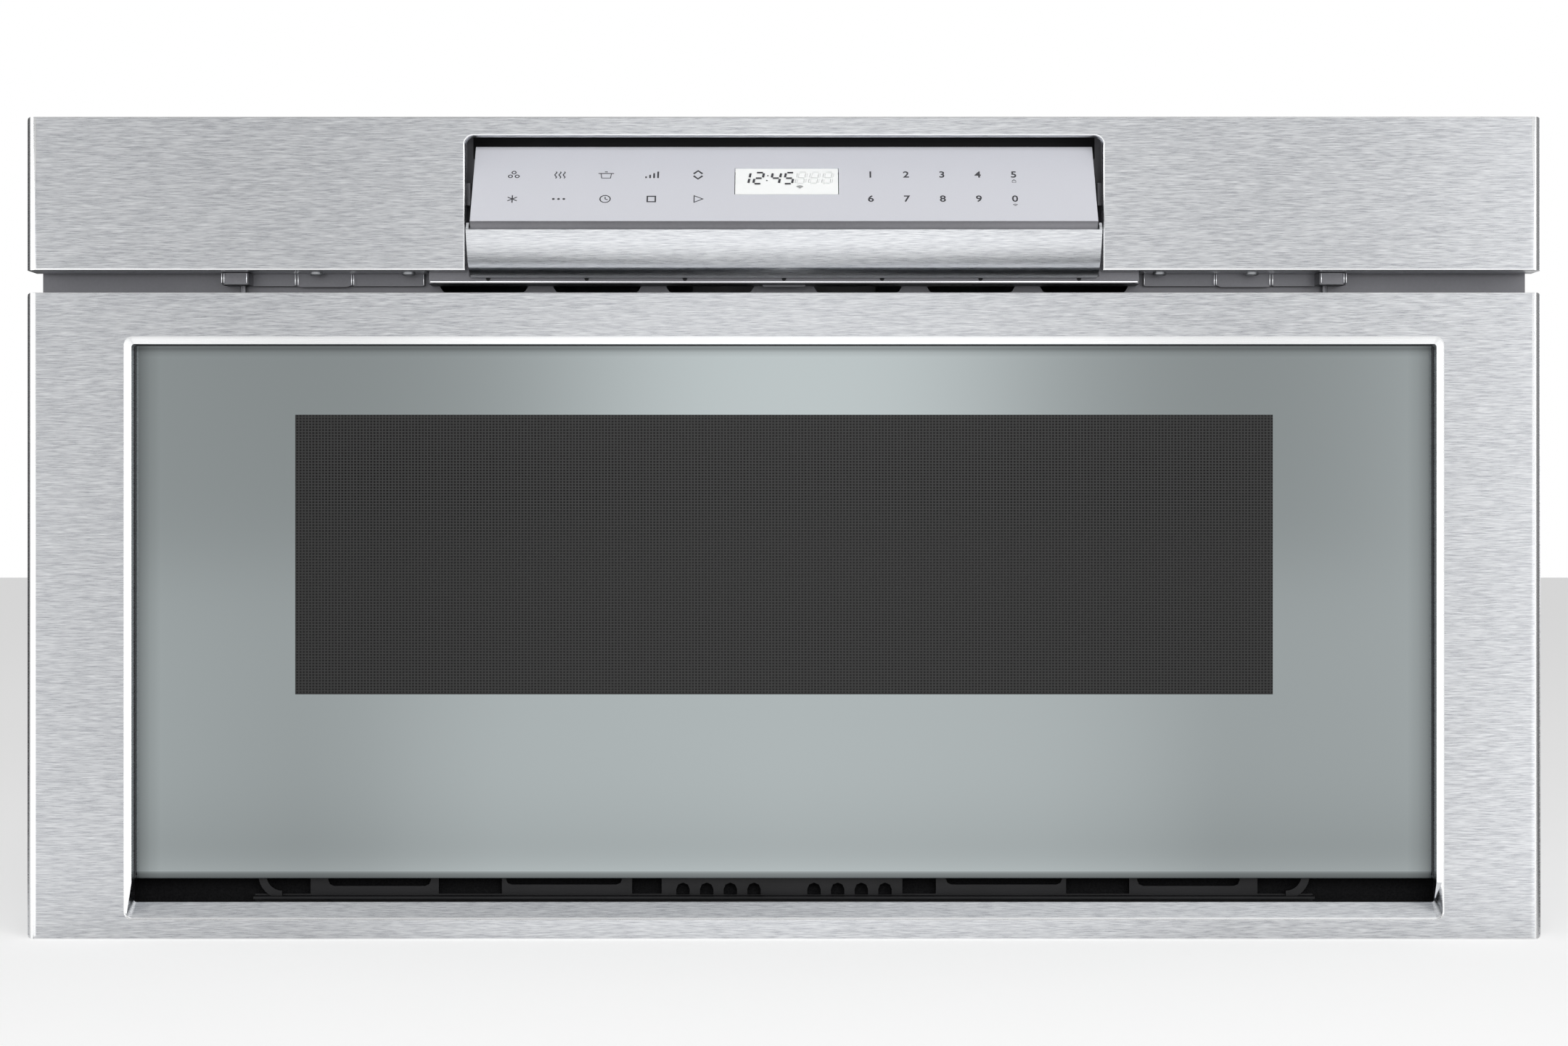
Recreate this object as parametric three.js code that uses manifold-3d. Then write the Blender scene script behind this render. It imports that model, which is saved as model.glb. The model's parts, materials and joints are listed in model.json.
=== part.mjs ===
// A 30-inch built-in microwave drawer: a fixed cabinet with a notched stainless fascia and an
// angled control pod, and a powered drawer that carries the window, the choke and the oven pan.
// Millimetres. X to the viewer's right, Y into the kitchen cabinet, Z up. The sizes below are
// measured from the fascia's front plane (y = 0) and from the drawer front's lower edge (z = 0);
// the exported group is then shifted so that its origin is the centre of its footprint.
import * as THREE from "three";
import { mergeVertices } from "three/addons/utils/BufferGeometryUtils.js";
import Module from "manifold-3d";

const wasm = await Module();
wasm.setup();

// ---------------------------------------------------------------- driving dimensions
const GAP = 0.3; // between pieces that touch
const SHEET = 1.0; // sheet steel
const FRONT = { width: 758.8, height: 411.3, depth: 27.5, bend: 4.5, corner: 2.2 };
const FASCIA_HEIGHT = 76.8;
const FRONT_GAP = 11.2;
const DRAWER_FRONT_HEIGHT = FRONT.height - FASCIA_HEIGHT - FRONT_GAP;
const FASCIA_FOOT = FRONT.height - FASCIA_HEIGHT;

const NOTCH = { half: 159.75, top: 401.7, radius: 4.4, lip: 8 };
const OPENING = { half: 329.9, low: 10.0, high: 300.8, radius: 3.6 };
const BEVEL = { side: 3.0, top: 3.2, foot: 7.6, depth: 1.75, footDepth: 8, seat: 11.5, back: 1.5 };
const GLASS = { half: 334, low: 28.9, high: 303, front: 11.8, thick: 4, chamfer: [1.8, 3.6] };
const WINDOW = { half: 246.2, low: 121.7, high: 262.5 };

const PLATE = { half: 377.4, low: 4, high: 407.3, front: 33, back: 34.5, skin: 34.0 };
const BODY = { half: 355.5, foot: 14, floor: 17, top: 386, front: 34.3, back: 622.2 };
const REAR_FACE = 623.5;
const REARMOST = 632; // the cord gland's rim
const NOSE_FRONT = -22;
const ORIGIN_Y = (NOSE_FRONT + REARMOST) / 2;

const CAVITY = { half: 226, low: 87, high: 283, back: 470 };
const DOME = { radius: 88, top: 305, y: 230 };
const PAN = { half: 221, low: 92, high: 268, front: 31.3, back: 462 };

const RAIL = { inner: 262, z: 128, front: 45, back: 470 }; // slides outside the cavity walls
const TRAVEL = 385; // how far the drawer opens
const DRIVE = { y: 70, z: 76, shaft: 4 };
const POD = { half: 157.5, glassHalf: 155.8, housingHalf: 178.8 };

// ---------------------------------------------------------------- finishes
const finish = (color, roughness, metalness) =>
  new THREE.MeshStandardMaterial({ color, roughness, metalness });
const STAINLESS = finish(0xc4c5c9, 0.35, 1);
const GALVANISED = finish(0x9a9ca0, 0.5, 0.9);
const GREY_STEEL = finish(0x5c5c5f, 0.5, 0.8);
const BLACK_STEEL = finish(0x1a1a1c, 0.6, 0.4);
const BLACK_PLASTIC = finish(0x19191b, 0.55, 0);
const GREY_GLASS = finish(0x8f999b, 0.1, 0.4);
const SILVER_PRINT = finish(0xd1d2d8, 0.4, 0.1);
const DISPLAY_WHITE = finish(0xf2f3f2, 0.3, 0);
const OVEN_ENAMEL = finish(0x8d8f90, 0.45, 0.3);
const CERAMIC = finish(0xd9d8d2, 0.25, 0);
const ACETAL = finish(0xe6e4dc, 0.5, 0);
const COPPER = finish(0xa8552d, 0.4, 0.8);
const BOARD_GREEN = finish(0x1f5a3a, 0.6, 0);
const ALUMINIUM = finish(0xb9bbbd, 0.4, 1);
const CLEAR = finish(0xaab4b4, 0.1, 0);

// ---------------------------------------------------------------- solids
function solid(geometry) {
  const flat = geometry.index ? geometry.toNonIndexed() : geometry.clone();
  flat.deleteAttribute("normal");
  flat.deleteAttribute("uv");
  const merged = mergeVertices(flat, 1e-4);
  return new wasm.Manifold(
    new wasm.Mesh({
      numProp: 3,
      vertProperties: merged.attributes.position.array,
      triVerts: new Uint32Array(merged.index.array),
    }),
  );
}

const join = (...pieces) => pieces.reduce((whole, piece) => whole.add(piece));
const cut = (whole, ...pieces) => pieces.reduce((rest, piece) => rest.subtract(piece), whole);

function box(x, y, z) {
  const size = [x, y, z].map(([low, high]) => high - low);
  const middle = [x, y, z].map(([low, high]) => (low + high) / 2);
  return solid(new THREE.BoxGeometry(...size).translate(...middle));
}

// A flat outline pushed along one axis. The outline's own two axes are named by the function:
// sideways() takes (y, z) outlines along X, inwards() takes (x, z) along Y, upwards() (x, y) along Z.
function prism(outline, length, segments) {
  const settings = { depth: length, bevelEnabled: false, curveSegments: segments, steps: 1 };
  return new THREE.ExtrudeGeometry(outline, settings);
}
const basis = (...axes) =>
  new THREE.Matrix4().makeBasis(...axes.map((axis) => new THREE.Vector3(...axis)));
const TO_X = basis([0, 1, 0], [0, 0, 1], [1, 0, 0]);
const TO_Y = basis([1, 0, 0], [0, 0, 1], [0, -1, 0]);
const sideways = (outline, [from, to], segments = 4) =>
  solid(prism(outline, to - from, segments).applyMatrix4(TO_X).translate(from, 0, 0));
const inwards = (outline, [from, to], segments = 4) =>
  solid(prism(outline, to - from, segments).applyMatrix4(TO_Y).translate(0, to, 0));
const upwards = (outline, [from, to], segments = 4) =>
  solid(prism(outline, to - from, segments).translate(0, 0, from));

// One span of X and its mirror image.
const both = ([low, high]) => [
  [low, high],
  [-high, -low],
];

const polygon = (points) => new THREE.Shape(points.map(([u, v]) => new THREE.Vector2(u, v)));

// A rectangle with its own radius at each corner, from the lower left round to the upper left.
function rectangle([left, right], [low, high], radii = 0) {
  const [a, b, c, d] = Array.isArray(radii) ? radii : [radii, radii, radii, radii];
  const shape = new THREE.Shape();
  const turn = Math.PI / 2;
  const corner = (u, v, r, start) =>
    r > 0 ? shape.absarc(u, v, r, start, start + turn, false) : shape.lineTo(u, v);
  shape.moveTo(left + a, low);
  shape.lineTo(right - b, low);
  corner(right - b, low + b, b, -turn);
  shape.lineTo(right, high - c);
  corner(right - c, high - c, c, 0);
  shape.lineTo(left + d, high);
  corner(left + d, high - d, d, turn);
  shape.lineTo(left, low + a);
  corner(left + a, low + a, a, 2 * turn);
  return shape;
}

const disc = (u, v, radius) => new THREE.Shape().absarc(u, v, radius, 0, 2 * Math.PI, false);

// A solid through loops of the same number of points, one behind another, each closed on itself.
function loft(...loops) {
  const count = loops[0].length;
  const last = count * (loops.length - 1);
  const faces = [];
  for (let i = 0; i < count; i++) {
    const next = (i + 1) % count;
    for (let ring = 0; ring < last; ring += count) {
      const [a, b, c, d] = [ring + i, ring + next, ring + count + i, ring + count + next];
      faces.push(a, c, b, b, c, d);
    }
    if (i > 0 && i < count - 1) {
      faces.push(0, i, i + 1, last, last + i + 1, last + i);
    }
  }
  const geometry = new THREE.BufferGeometry();
  geometry.setAttribute("position", new THREE.Float32BufferAttribute(loops.flat(2), 3));
  geometry.setIndex(faces);
  return solid(geometry);
}

const root = new THREE.Group();
root.position.set(0, -ORIGIN_Y, 0);

function place(name, made, material) {
  const { numProp, numVert, vertProperties, triVerts } = made.getMesh();
  const position = new Float32Array(numVert * 3);
  for (let i = 0; i < numVert; i++) {
    position.set(vertProperties.subarray(i * numProp, i * numProp + 3), i * 3);
  }
  const geometry = new THREE.BufferGeometry();
  geometry.setAttribute("position", new THREE.BufferAttribute(position, 3));
  geometry.setIndex(new THREE.BufferAttribute(new Uint32Array(triVerts), 1));
  geometry.computeVertexNormals();
  const mesh = new THREE.Mesh(geometry, material);
  mesh.name = name;
  root.add(mesh);
}

// Left and right pieces are one shape, mirrored across the middle.
function placePair(name, made, material) {
  place(`${name}_right`, made, material);
  place(`${name}_left`, made.mirror([1, 0, 0]), material);
}

// ---------------------------------------------------------------- drawer front and fascia
// Both are shallow stainless trays: the sides roll back on a 4.5 mm bend, the top and foot fold
// square, the corners are dressed round and the back is open.
function tray(low, high, corners) {
  const { width, depth, bend } = FRONT;
  const half = width / 2;
  const outer = rectangle([-half, half], [0, depth], [bend, bend, 0, 0]);
  const inner = rectangle(
    [-half + SHEET, half - SHEET],
    [SHEET, depth + 1],
    [bend - SHEET, bend - SHEET, 0, 0],
  );
  const face = inwards(rectangle([-half, half], [low, high], corners), [-1, depth + 1], 1);
  const hollow = upwards(inner, [low + SHEET, high - SHEET]);
  return cut(upwards(outer, [low, high]).intersect(face), hollow);
}

function fascia() {
  const { half, top, radius, lip } = NOTCH;
  const hole = (grow) =>
    rectangle([-half - grow, half + grow], [FASCIA_FOOT - 5, top + grow], [0, 0, radius, radius]);
  const lining = inwards(hole(SHEET), [0.2, lip]).intersect(
    box([-400, 400], [0, lip], [FASCIA_FOOT, top + 2]),
  );
  const housingNotches = both([half - 1, POD.housingHalf + 1]).map((x) =>
    box(x, [lip + 2, FRONT.depth + 1], [FASCIA_FOOT - 1, FASCIA_FOOT + 2]),
  );
  return cut(
    join(tray(FASCIA_FOOT, FRONT.height, [0, 0, FRONT.corner, FRONT.corner]), lining),
    inwards(hole(0), [-1, FRONT.depth + 1]),
    ...housingNotches,
  );
}

// The frame's opening is bevelled: shallow at the top and sides, deep at the foot, where the slope
// leads the air and a hand up to the slot under the glass. The side bevels keep their slope down
// to the knee, and there the corners fall to the foot's depth.
const KNEE = 28;
function drawerFrame() {
  const { half, low, high, radius } = OPENING;
  const { side, top, foot, depth, footDepth, seat, back } = BEVEL;
  const inner = { half: half - side, low: low + foot, high: high - top };
  const outline = (grow) =>
    rectangle(
      [-inner.half - grow, inner.half + grow],
      [inner.low - grow, inner.high + grow],
      [2, 2, 1, 1],
    );
  const loop = (edge, r, y, yFoot) => {
    const points = rectangle([-edge.half, edge.half], [edge.low, edge.high], r)
      .getPoints(3)
      .slice(0, -1)
      .map((p) => [p.x, p.y < KNEE ? yFoot : y, p.y]);
    return points.flatMap((point, i) => {
      const next = points[(i + 1) % points.length];
      const passesKnee = (point[2] - KNEE) * (next[2] - KNEE) < 0;
      return passesKnee ? [point, [point[0], y, KNEE]] : [point];
    });
  };
  const opening = loft(
    loop(OPENING, radius, -1, -1),
    loop(OPENING, radius, 0, 0),
    loop(inner, 1.5, depth, footDepth),
    loop(inner, 1.5, seat + 1, seat + 1),
  );
  const wall = join(
    inwards(outline(side + back), [0.2, depth + back]),
    inwards(outline(SHEET + 0.2), [depth, seat]),
    box([-half - back, half + back], [0.2, footDepth + back], [low - back, KNEE + back]),
  );
  return cut(join(tray(0, DRAWER_FRONT_HEIGHT, FRONT.corner), wall), opening);
}

function doorGlass() {
  const { half, low, high, front, thick, chamfer } = GLASS;
  const section = polygon([
    [front + chamfer[0], low],
    [front + thick, low],
    [front + thick, high],
    [front, high],
    [front, low + chamfer[1]],
  ]);
  return sideways(section, [-half, half]);
}

place("fascia", fascia(), STAINLESS);
place("drawer_frame", drawerFrame(), STAINLESS);
place("door_glass", doorGlass(), GREY_GLASS);

// ---------------------------------------------------------------- door layers behind the glass
const SCREEN = { front: 16.2, back: 17.0, margin: 8 };
const DOOR = { half: 285, low: 80, high: 300, front: 17.4, back: 27.0, gauge: 1.2, radius: 5 };
const DOOR_WINDOW = { half: 215, low: 126, high: 258, radius: 6 };
const CHOKE = { half: 256, low: 82, high: 296, front: 27.4, back: 31.0 };
const CHOKE_GROOVE = { from: 6, to: 14, deep: 2.2 };
const RAIL_PAD = { reach: 9, half: 12 }; // where a slide is screwed to the door pan
const PANE_BACK = 29.4;
const PANE_LEDGE = 4; // the rim of the choke cover that the pane rests against
const STRIKER = { x: [266, 270], z: [180, 186], tip: 41.6 };

const windowOutline = (grow) =>
  rectangle(
    [-DOOR_WINDOW.half - grow, DOOR_WINDOW.half + grow],
    [DOOR_WINDOW.low - grow, DOOR_WINDOW.high + grow],
    DOOR_WINDOW.radius,
  );

const windowScreen = () =>
  box(
    [-WINDOW.half - SCREEN.margin, WINDOW.half + SCREEN.margin],
    [SCREEN.front, SCREEN.back],
    [WINDOW.low - SCREEN.margin, WINDOW.high + SCREEN.margin],
  );

// A pressed steel pan, open to the rear, with a raised rim round the window and two strikers
// that reach through the face plate to the interlock switches.
function doorPan() {
  const { half, low, high, front, back, gauge, radius } = DOOR;
  const shell = cut(
    inwards(rectangle([-half, half], [low, high], radius), [front, back], 1),
    inwards(
      rectangle([-half + gauge, half - gauge], [low + gauge, high - gauge], radius - gauge),
      [front + gauge, back + 1],
      1,
    ),
  );
  const rim = inwards(windowOutline(gauge), [front, back - 0.4], 1);
  const pads = both([RAIL.inner, RAIL.inner + RAIL_PAD.reach]).map((x) =>
    box(x, [front, back], [RAIL.z - RAIL_PAD.half, RAIL.z + RAIL_PAD.half]),
  );
  const strikers = both(STRIKER.x).map((x) => box(x, [front, STRIKER.tip], STRIKER.z));
  const view = inwards(windowOutline(0), [front - 1, back + 1], 1);
  return cut(join(shell, rim, ...pads, ...strikers), view);
}

// The choke cover is a moulded frame with a quarter-wave groove facing the face plate.
function chokeCover() {
  const { half, low, high, front, back } = CHOKE;
  const ring = (inset, radius) =>
    rectangle([-half + inset, half - inset], [low + inset, high - inset], radius);
  const { from, to, deep } = CHOKE_GROOVE;
  const groove = cut(
    inwards(ring(from, 4), [back - deep, back + 1], 1),
    inwards(ring(to, 3), [back - deep - 0.1, back + 2], 1),
  );
  const view = (shrink, y) => inwards(windowOutline(-shrink), y, 1);
  return cut(
    inwards(ring(0, 6), [front, back], 1),
    groove,
    view(0, [front - 1, PANE_BACK + GAP]),
    view(PANE_LEDGE, [front - 1, back + 1]),
  );
}

const innerPane = () => inwards(windowOutline(-GAP), [CHOKE.front + GAP, PANE_BACK], 1);

// Flat webs tie the door pan to the frame's side flanges.
const WEB = { z: [40, 292], flange: 14, front: 24.4, back: 25.6 };
const WEB_SLOT = { x: [300, 362], height: 44, radius: 12, feet: [60, 144, 228] };
function sideWeb() {
  const outer = FRONT.width / 2 - SHEET - GAP;
  const gauge = WEB.back - WEB.front;
  const { x, height, radius, feet } = WEB_SLOT;
  const slots = feet.map((foot) =>
    inwards(rectangle(x, [foot, foot + height], radius), [WEB.front - 1, WEB.back + 1], 1),
  );
  return cut(
    join(
      box([DOOR.half + GAP, outer], [WEB.front, WEB.back], WEB.z),
      box([outer - gauge, outer], [WEB.flange, WEB.back], WEB.z),
    ),
    ...slots,
  );
}

place("window_screen", windowScreen(), BLACK_STEEL);
place("door_pan", doorPan(), BLACK_STEEL);
place("choke_cover", chokeCover(), BLACK_PLASTIC);
place("inner_pane", innerPane(), CLEAR);
placePair("frame_web", sideWeb(), GALVANISED);

// The air guide stands on the frame's floor behind the slot under the glass: a ledge, five tabs,
// eight arched holes and a cable hook at each end.
const AIR_GUIDE = { lip: 16.6, front: 24, back: 25.2, ledge: 19.4, foot: 18.2, top: 30, half: 268 };
const ARCH = { first: 15.2, pitch: 12, half: 3.4, z: [19.7, 25.7], crown: 3.2 };
const TABS = [
  { x: [175, 240], dip: 24.1, dipX: [179, 231] },
  { x: [77, 143], dip: 24.8, dipX: [82, 141] },
];
const MIDDLE_TAB = [-62, 60];
const HOOK = { x: 254, z: 30, outer: 12, inner: 8 };
function airGuide() {
  const { lip, front, back, ledge, foot, top, half } = AIR_GUIDE;
  const floor = SHEET + GAP;
  const gauge = back - front;
  const pieces = [
    box([-half, half], [lip, back], [foot, ledge]),
    box([-half, half], [front, back], [floor, ledge + 0.8]),
    box([-half, half], [lip, back], [floor, floor + gauge]),
    box(MIDDLE_TAB, [front, back], [ledge, top]),
  ];
  const through = [front - 1, back + 1];
  const dips = [];
  for (const { x, dip, dipX } of TABS) {
    for (const span of both(x)) pieces.push(box(span, [front, back], [ledge, top]));
    for (const span of both(dipX)) {
      dips.push(inwards(rectangle(span, [dip, top + 3], [3, 3, 0, 0]), through, 1));
    }
  }
  for (let i = 0; i < 4; i++) {
    for (const side of [-1, 1]) {
      const x = side * (ARCH.first + ARCH.pitch * i);
      const arch = rectangle([x - ARCH.half, x + ARCH.half], ARCH.z, [0, 0, ARCH.crown, ARCH.crown]);
      dips.push(inwards(arch, through, 1));
    }
  }
  for (const side of [-1, 1]) {
    const { x, z, outer, inner } = HOOK;
    const end = side > 0 ? 0 : Math.PI;
    const hook = new THREE.Shape();
    hook.absarc(side * x, z, outer, end, -Math.PI / 2, side > 0);
    hook.absarc(side * x, z, inner, -Math.PI / 2, end, side < 0);
    pieces.push(inwards(hook, [front - 3, back], 4));
  }
  return cut(join(...pieces), ...dips);
}
place("air_guide", airGuide(), BLACK_STEEL);

// ---------------------------------------------------------------- oven pan (the drawer's box)
// A drawn steel pan: rounded rear corners, a folded hem round its rim and a flange at the front.
const HEM = { proud: 1.2, height: 6 };
function panShell() {
  const { half, low, high, front, back } = PAN;
  const walls = (grow, y, z) =>
    upwards(
      rectangle([-half - grow, half + grow], [y, back + grow], [0, 0, 8 + grow, 8 + grow]),
      z,
      3,
    );
  const shell = cut(
    join(walls(0, front, [low, high]), walls(HEM.proud, front, [high - HEM.height, high])),
    walls(-SHEET, front - 1, [low + SHEET, high + 1]),
  );
  const flange = cut(
    box([-half - 11, half + 11], [front, front + SHEET], [low - 3, high + 4]),
    box([-half + SHEET, half - SHEET], [front - 1, front + 2], [low + SHEET, high + 5]),
  );
  return join(shell, flange);
}

const panFloor = () =>
  upwards(
    rectangle(
      [-PAN.half + SHEET + 0.5, PAN.half - SHEET - 0.5],
      [PAN.front + 1.7, PAN.back - SHEET - 0.5],
      [0, 0, 7, 7],
    ),
    [PAN.low + SHEET + GAP, PAN.low + SHEET + GAP + 4],
    3,
  );

place("oven_pan", panShell(), OVEN_ENAMEL);
place("pan_floor", panFloor(), CERAMIC);

// ---------------------------------------------------------------- slides
// Three nested rolled channels a side. Each outline is (x, z) measured from the inner face.
function channel({ web, lips, height, gauge = 1.2, lip = 2 }) {
  const away = Math.sign(lips - web);
  const w = web;
  const inside = web + away * gauge;
  const h = height;
  const k = height - gauge;
  return polygon([
    [w, -h],
    [lips, -h],
    [lips, -k + lip],
    [lips - away * gauge, -k + lip],
    [lips - away * gauge, -k],
    [inside, -k],
    [inside, k],
    [lips - away * gauge, k],
    [lips - away * gauge, k - lip],
    [lips, k - lip],
    [lips, h],
    [w, h],
  ]);
}
const OUTER_WEB = 12.7;
const slide = (spec, along) => inwards(channel(spec), along, 1).translate([RAIL.inner, 0, RAIL.z]);

placePair(
  "outer_rail",
  slide({ web: OUTER_WEB, lips: 2.5, height: 22.5 }, [RAIL.front, RAIL.back]),
  GALVANISED,
);
placePair("mid_rail", slide({ web: 9.8, lips: 2.2, height: 17.6 }, [47, 466]), GALVANISED);
placePair(
  "inner_rail",
  slide({ web: 0, lips: 7.2, height: 12.7, lip: 1.6 }, [DOOR.back + GAP, 460]),
  GALVANISED,
);

// Upright brackets on the base carry the slides, the drive shaft's bushes and a switch each.
const DECK = BODY.floor + SHEET + GAP;
const BRACKET = { inner: RAIL.inner + OUTER_WEB + GAP, thick: 2 };
const BUSH = { sleeve: 7.7, flange: 11, reach: 1.5 };
const SWITCH = { x: [261, BRACKET.inner - GAP], y: [46, 74], z: [168, 198] };
const LIGHTENING = { fronts: [130, 250, 370], long: 70, z: [40, 92], radius: 10 };
function railBracket() {
  const { inner, thick } = BRACKET;
  const sheet = [inner, inner + thick];
  const through = [inner - 1, inner + thick + 1];
  const upright = rectangle([RAIL.front, RAIL.back], [DECK, RAIL.z + 24], 4);
  const ear = rectangle([RAIL.front, SWITCH.y[1] + 4], [RAIL.z, SWITCH.z[1] + 4], 4);
  const { fronts, long, z, radius } = LIGHTENING;
  const windows = fronts.map((y) => sideways(rectangle([y, y + long], z, radius), through, 1));
  const shaftHole = sideways(disc(DRIVE.y, DRIVE.z, BUSH.sleeve + GAP), through, 6);
  const plate = cut(
    join(sideways(upright, sheet, 1), sideways(ear, sheet, 1)),
    ...windows,
    shaftHole,
  );
  return join(plate, box([inner, inner + 24], [RAIL.front + 4, RAIL.back - 4], [DECK, DECK + thick]));
}
placePair("rail_bracket", railBracket(), GALVANISED);

// ---------------------------------------------------------------- drawer drive
// Stub involute teeth, three points a flank, thinned for backlash. Angles run from +Y to +Z.
const PRESSURE = THREE.MathUtils.degToRad(20);
const BACKLASH = 0.25;
function gearOutline({ teeth, module: m, phase, y, z }) {
  const pitch = (teeth * m) / 2;
  const base = pitch * Math.cos(PRESSURE);
  const tip = pitch + 0.8 * m;
  const rootRadius = pitch - 1.0 * m;
  const involute = (r) => {
    if (r <= base) return 0;
    const a = Math.acos(base / r);
    return Math.tan(a) - a;
  };
  const halfTooth = ((Math.PI * m) / 2 - BACKLASH) / 2 / pitch;
  const flank = [rootRadius, pitch, tip].map((r) => [r, halfTooth + involute(pitch) - involute(r)]);
  const points = [];
  for (let i = 0; i < teeth; i++) {
    const middle = phase + (2 * Math.PI * i) / teeth;
    for (const [r, half] of flank) points.push([r, middle - half]);
    for (const [r, half] of [...flank].reverse()) points.push([r, middle + half]);
  }
  return polygon(points.map(([r, a]) => [y + r * Math.cos(a), z + r * Math.sin(a)]));
}

const PINION = { teeth: 16, module: 2.5, x: [260.2, 269.2] };
const PITCH_RADIUS = (PINION.teeth * PINION.module) / 2;
const RACK_PITCH = Math.PI * PINION.module;
const RACK_LINE = DRIVE.z + PITCH_RADIUS;

// The rack's teeth face down and run under the slide; its web is fixed to the inner rail. It is
// long enough to stay in mesh over the whole travel.
function rack() {
  const m = PINION.module;
  const teeth = Math.ceil(TRAVEL / RACK_PITCH) + 3;
  const [tip, rootLine, top] = [RACK_LINE - 0.8 * m, RACK_LINE + 1.0 * m, RACK_LINE + 8];
  const halfTooth = (RACK_PITCH / 2 - BACKLASH) / 2;
  const lean = Math.tan(PRESSURE);
  const points = [];
  for (let i = 0; i < teeth; i++) {
    const middle = DRIVE.y + RACK_PITCH * (i - 1);
    const wide = halfTooth + lean * (rootLine - RACK_LINE);
    const narrow = halfTooth - lean * (RACK_LINE - tip);
    points.push([middle - wide, rootLine], [middle - narrow, tip]);
    points.push([middle + narrow, tip], [middle + wide, rootLine]);
  }
  const front = DOOR.back + GAP;
  const back = points[points.length - 1][0] + 2;
  points.push([back, rootLine], [back, top], [front, top], [front, rootLine]);
  const x = RAIL.inner - 2.3;
  return join(
    sideways(polygon(points), [x, x + 10]),
    box([x, x + 2], [front, 455], [RACK_LINE + 3, RAIL.z + 9]),
  );
}

const along = (radius, [from, to], segments = 5) =>
  sideways(disc(DRIVE.y, DRIVE.z, radius), [from, to], segments);

const driveShaft = () => along(DRIVE.shaft, [-286, 286]);

// A toothed wheel on the shaft, with a hub on one side.
function shaftGear(spec, hub) {
  const wheel = sideways(gearOutline({ ...spec, y: DRIVE.y, z: DRIVE.z }), spec.x);
  const bore = along(DRIVE.shaft + GAP, [hub[0] - 20, hub[1] + 20]);
  return cut(join(wheel, along(8, hub)), bore);
}

function shaftBush() {
  const ring = (radius, x) =>
    cut(along(radius, x), along(DRIVE.shaft + GAP, [x[0] - 1, x[1] + 1]));
  const { sleeve, flange, reach } = BUSH;
  const [face, rear] = [BRACKET.inner, BRACKET.inner + BRACKET.thick];
  return join(
    ring(sleeve, [face - reach, face + 4 * reach]),
    ring(flange, [rear + GAP, rear + 2]),
  );
}

placePair("rack", rack(), ACETAL);
place("drive_shaft", driveShaft(), ALUMINIUM);
// A gap between two teeth stands straight up, under a rack tooth.
const upGap = Math.PI / 2 + Math.PI / PINION.teeth;
placePair("pinion", shaftGear({ ...PINION, phase: upGap }, [255, PINION.x[0]]), ACETAL);
placePair("shaft_bush", shaftBush(), BLACK_PLASTIC);

// The gear motor sits low, beside the cavity, and drives a wheel on the shaft.
const WHEEL = { teeth: 24, module: 2, x: [238, 246] };
const MOTOR_PINION = { teeth: 14, module: 2 };
const MESH_ANGLE = -Math.PI / 4;
const CENTRES = ((WHEEL.teeth + MOTOR_PINION.teeth) * WHEEL.module) / 2;
const MOTOR_AXIS = {
  y: DRIVE.y + CENTRES * Math.cos(MESH_ANGLE),
  z: DRIVE.z + CENTRES * Math.sin(MESH_ANGLE),
};

function motorPinion() {
  const phase = MESH_ANGLE + Math.PI + Math.PI / MOTOR_PINION.teeth;
  const teeth = gearOutline({ ...MOTOR_PINION, phase, ...MOTOR_AXIS });
  return join(
    sideways(teeth, WHEEL.x),
    sideways(disc(MOTOR_AXIS.y, MOTOR_AXIS.z, 3), [226.5, WHEEL.x[0] + 1], 4),
  );
}

// A gearbox on a foot, with the motor's can and its bearing boss beyond it.
const GEARBOX = { x: [202, 226.2], y: [-24, 40], half: 24, radius: 6 };
const CAN = { offset: 14, radius: 18, x: [138, 203], boss: 5, bossX: [132, 140] };
function gearMotor() {
  const { y, z } = MOTOR_AXIS;
  const middle = y + CAN.offset;
  const body = rectangle(
    GEARBOX.y.map((end) => y + end),
    [z - GEARBOX.half, z + GEARBOX.half],
    GEARBOX.radius,
  );
  return join(
    sideways(body, GEARBOX.x, 2),
    sideways(disc(middle, z, CAN.radius), CAN.x, 6),
    sideways(disc(middle, z, CAN.boss), CAN.bossX, 3),
    box([206, 222], [y - 20, y + 36], [DECK, z - 20]),
  );
}

place("drive_wheel", shaftGear({ ...WHEEL, phase: MESH_ANGLE }, [246, 252]), ACETAL);
place("motor_pinion", motorPinion(), ALUMINIUM);
place("gear_motor", gearMotor(), GREY_STEEL);

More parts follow.
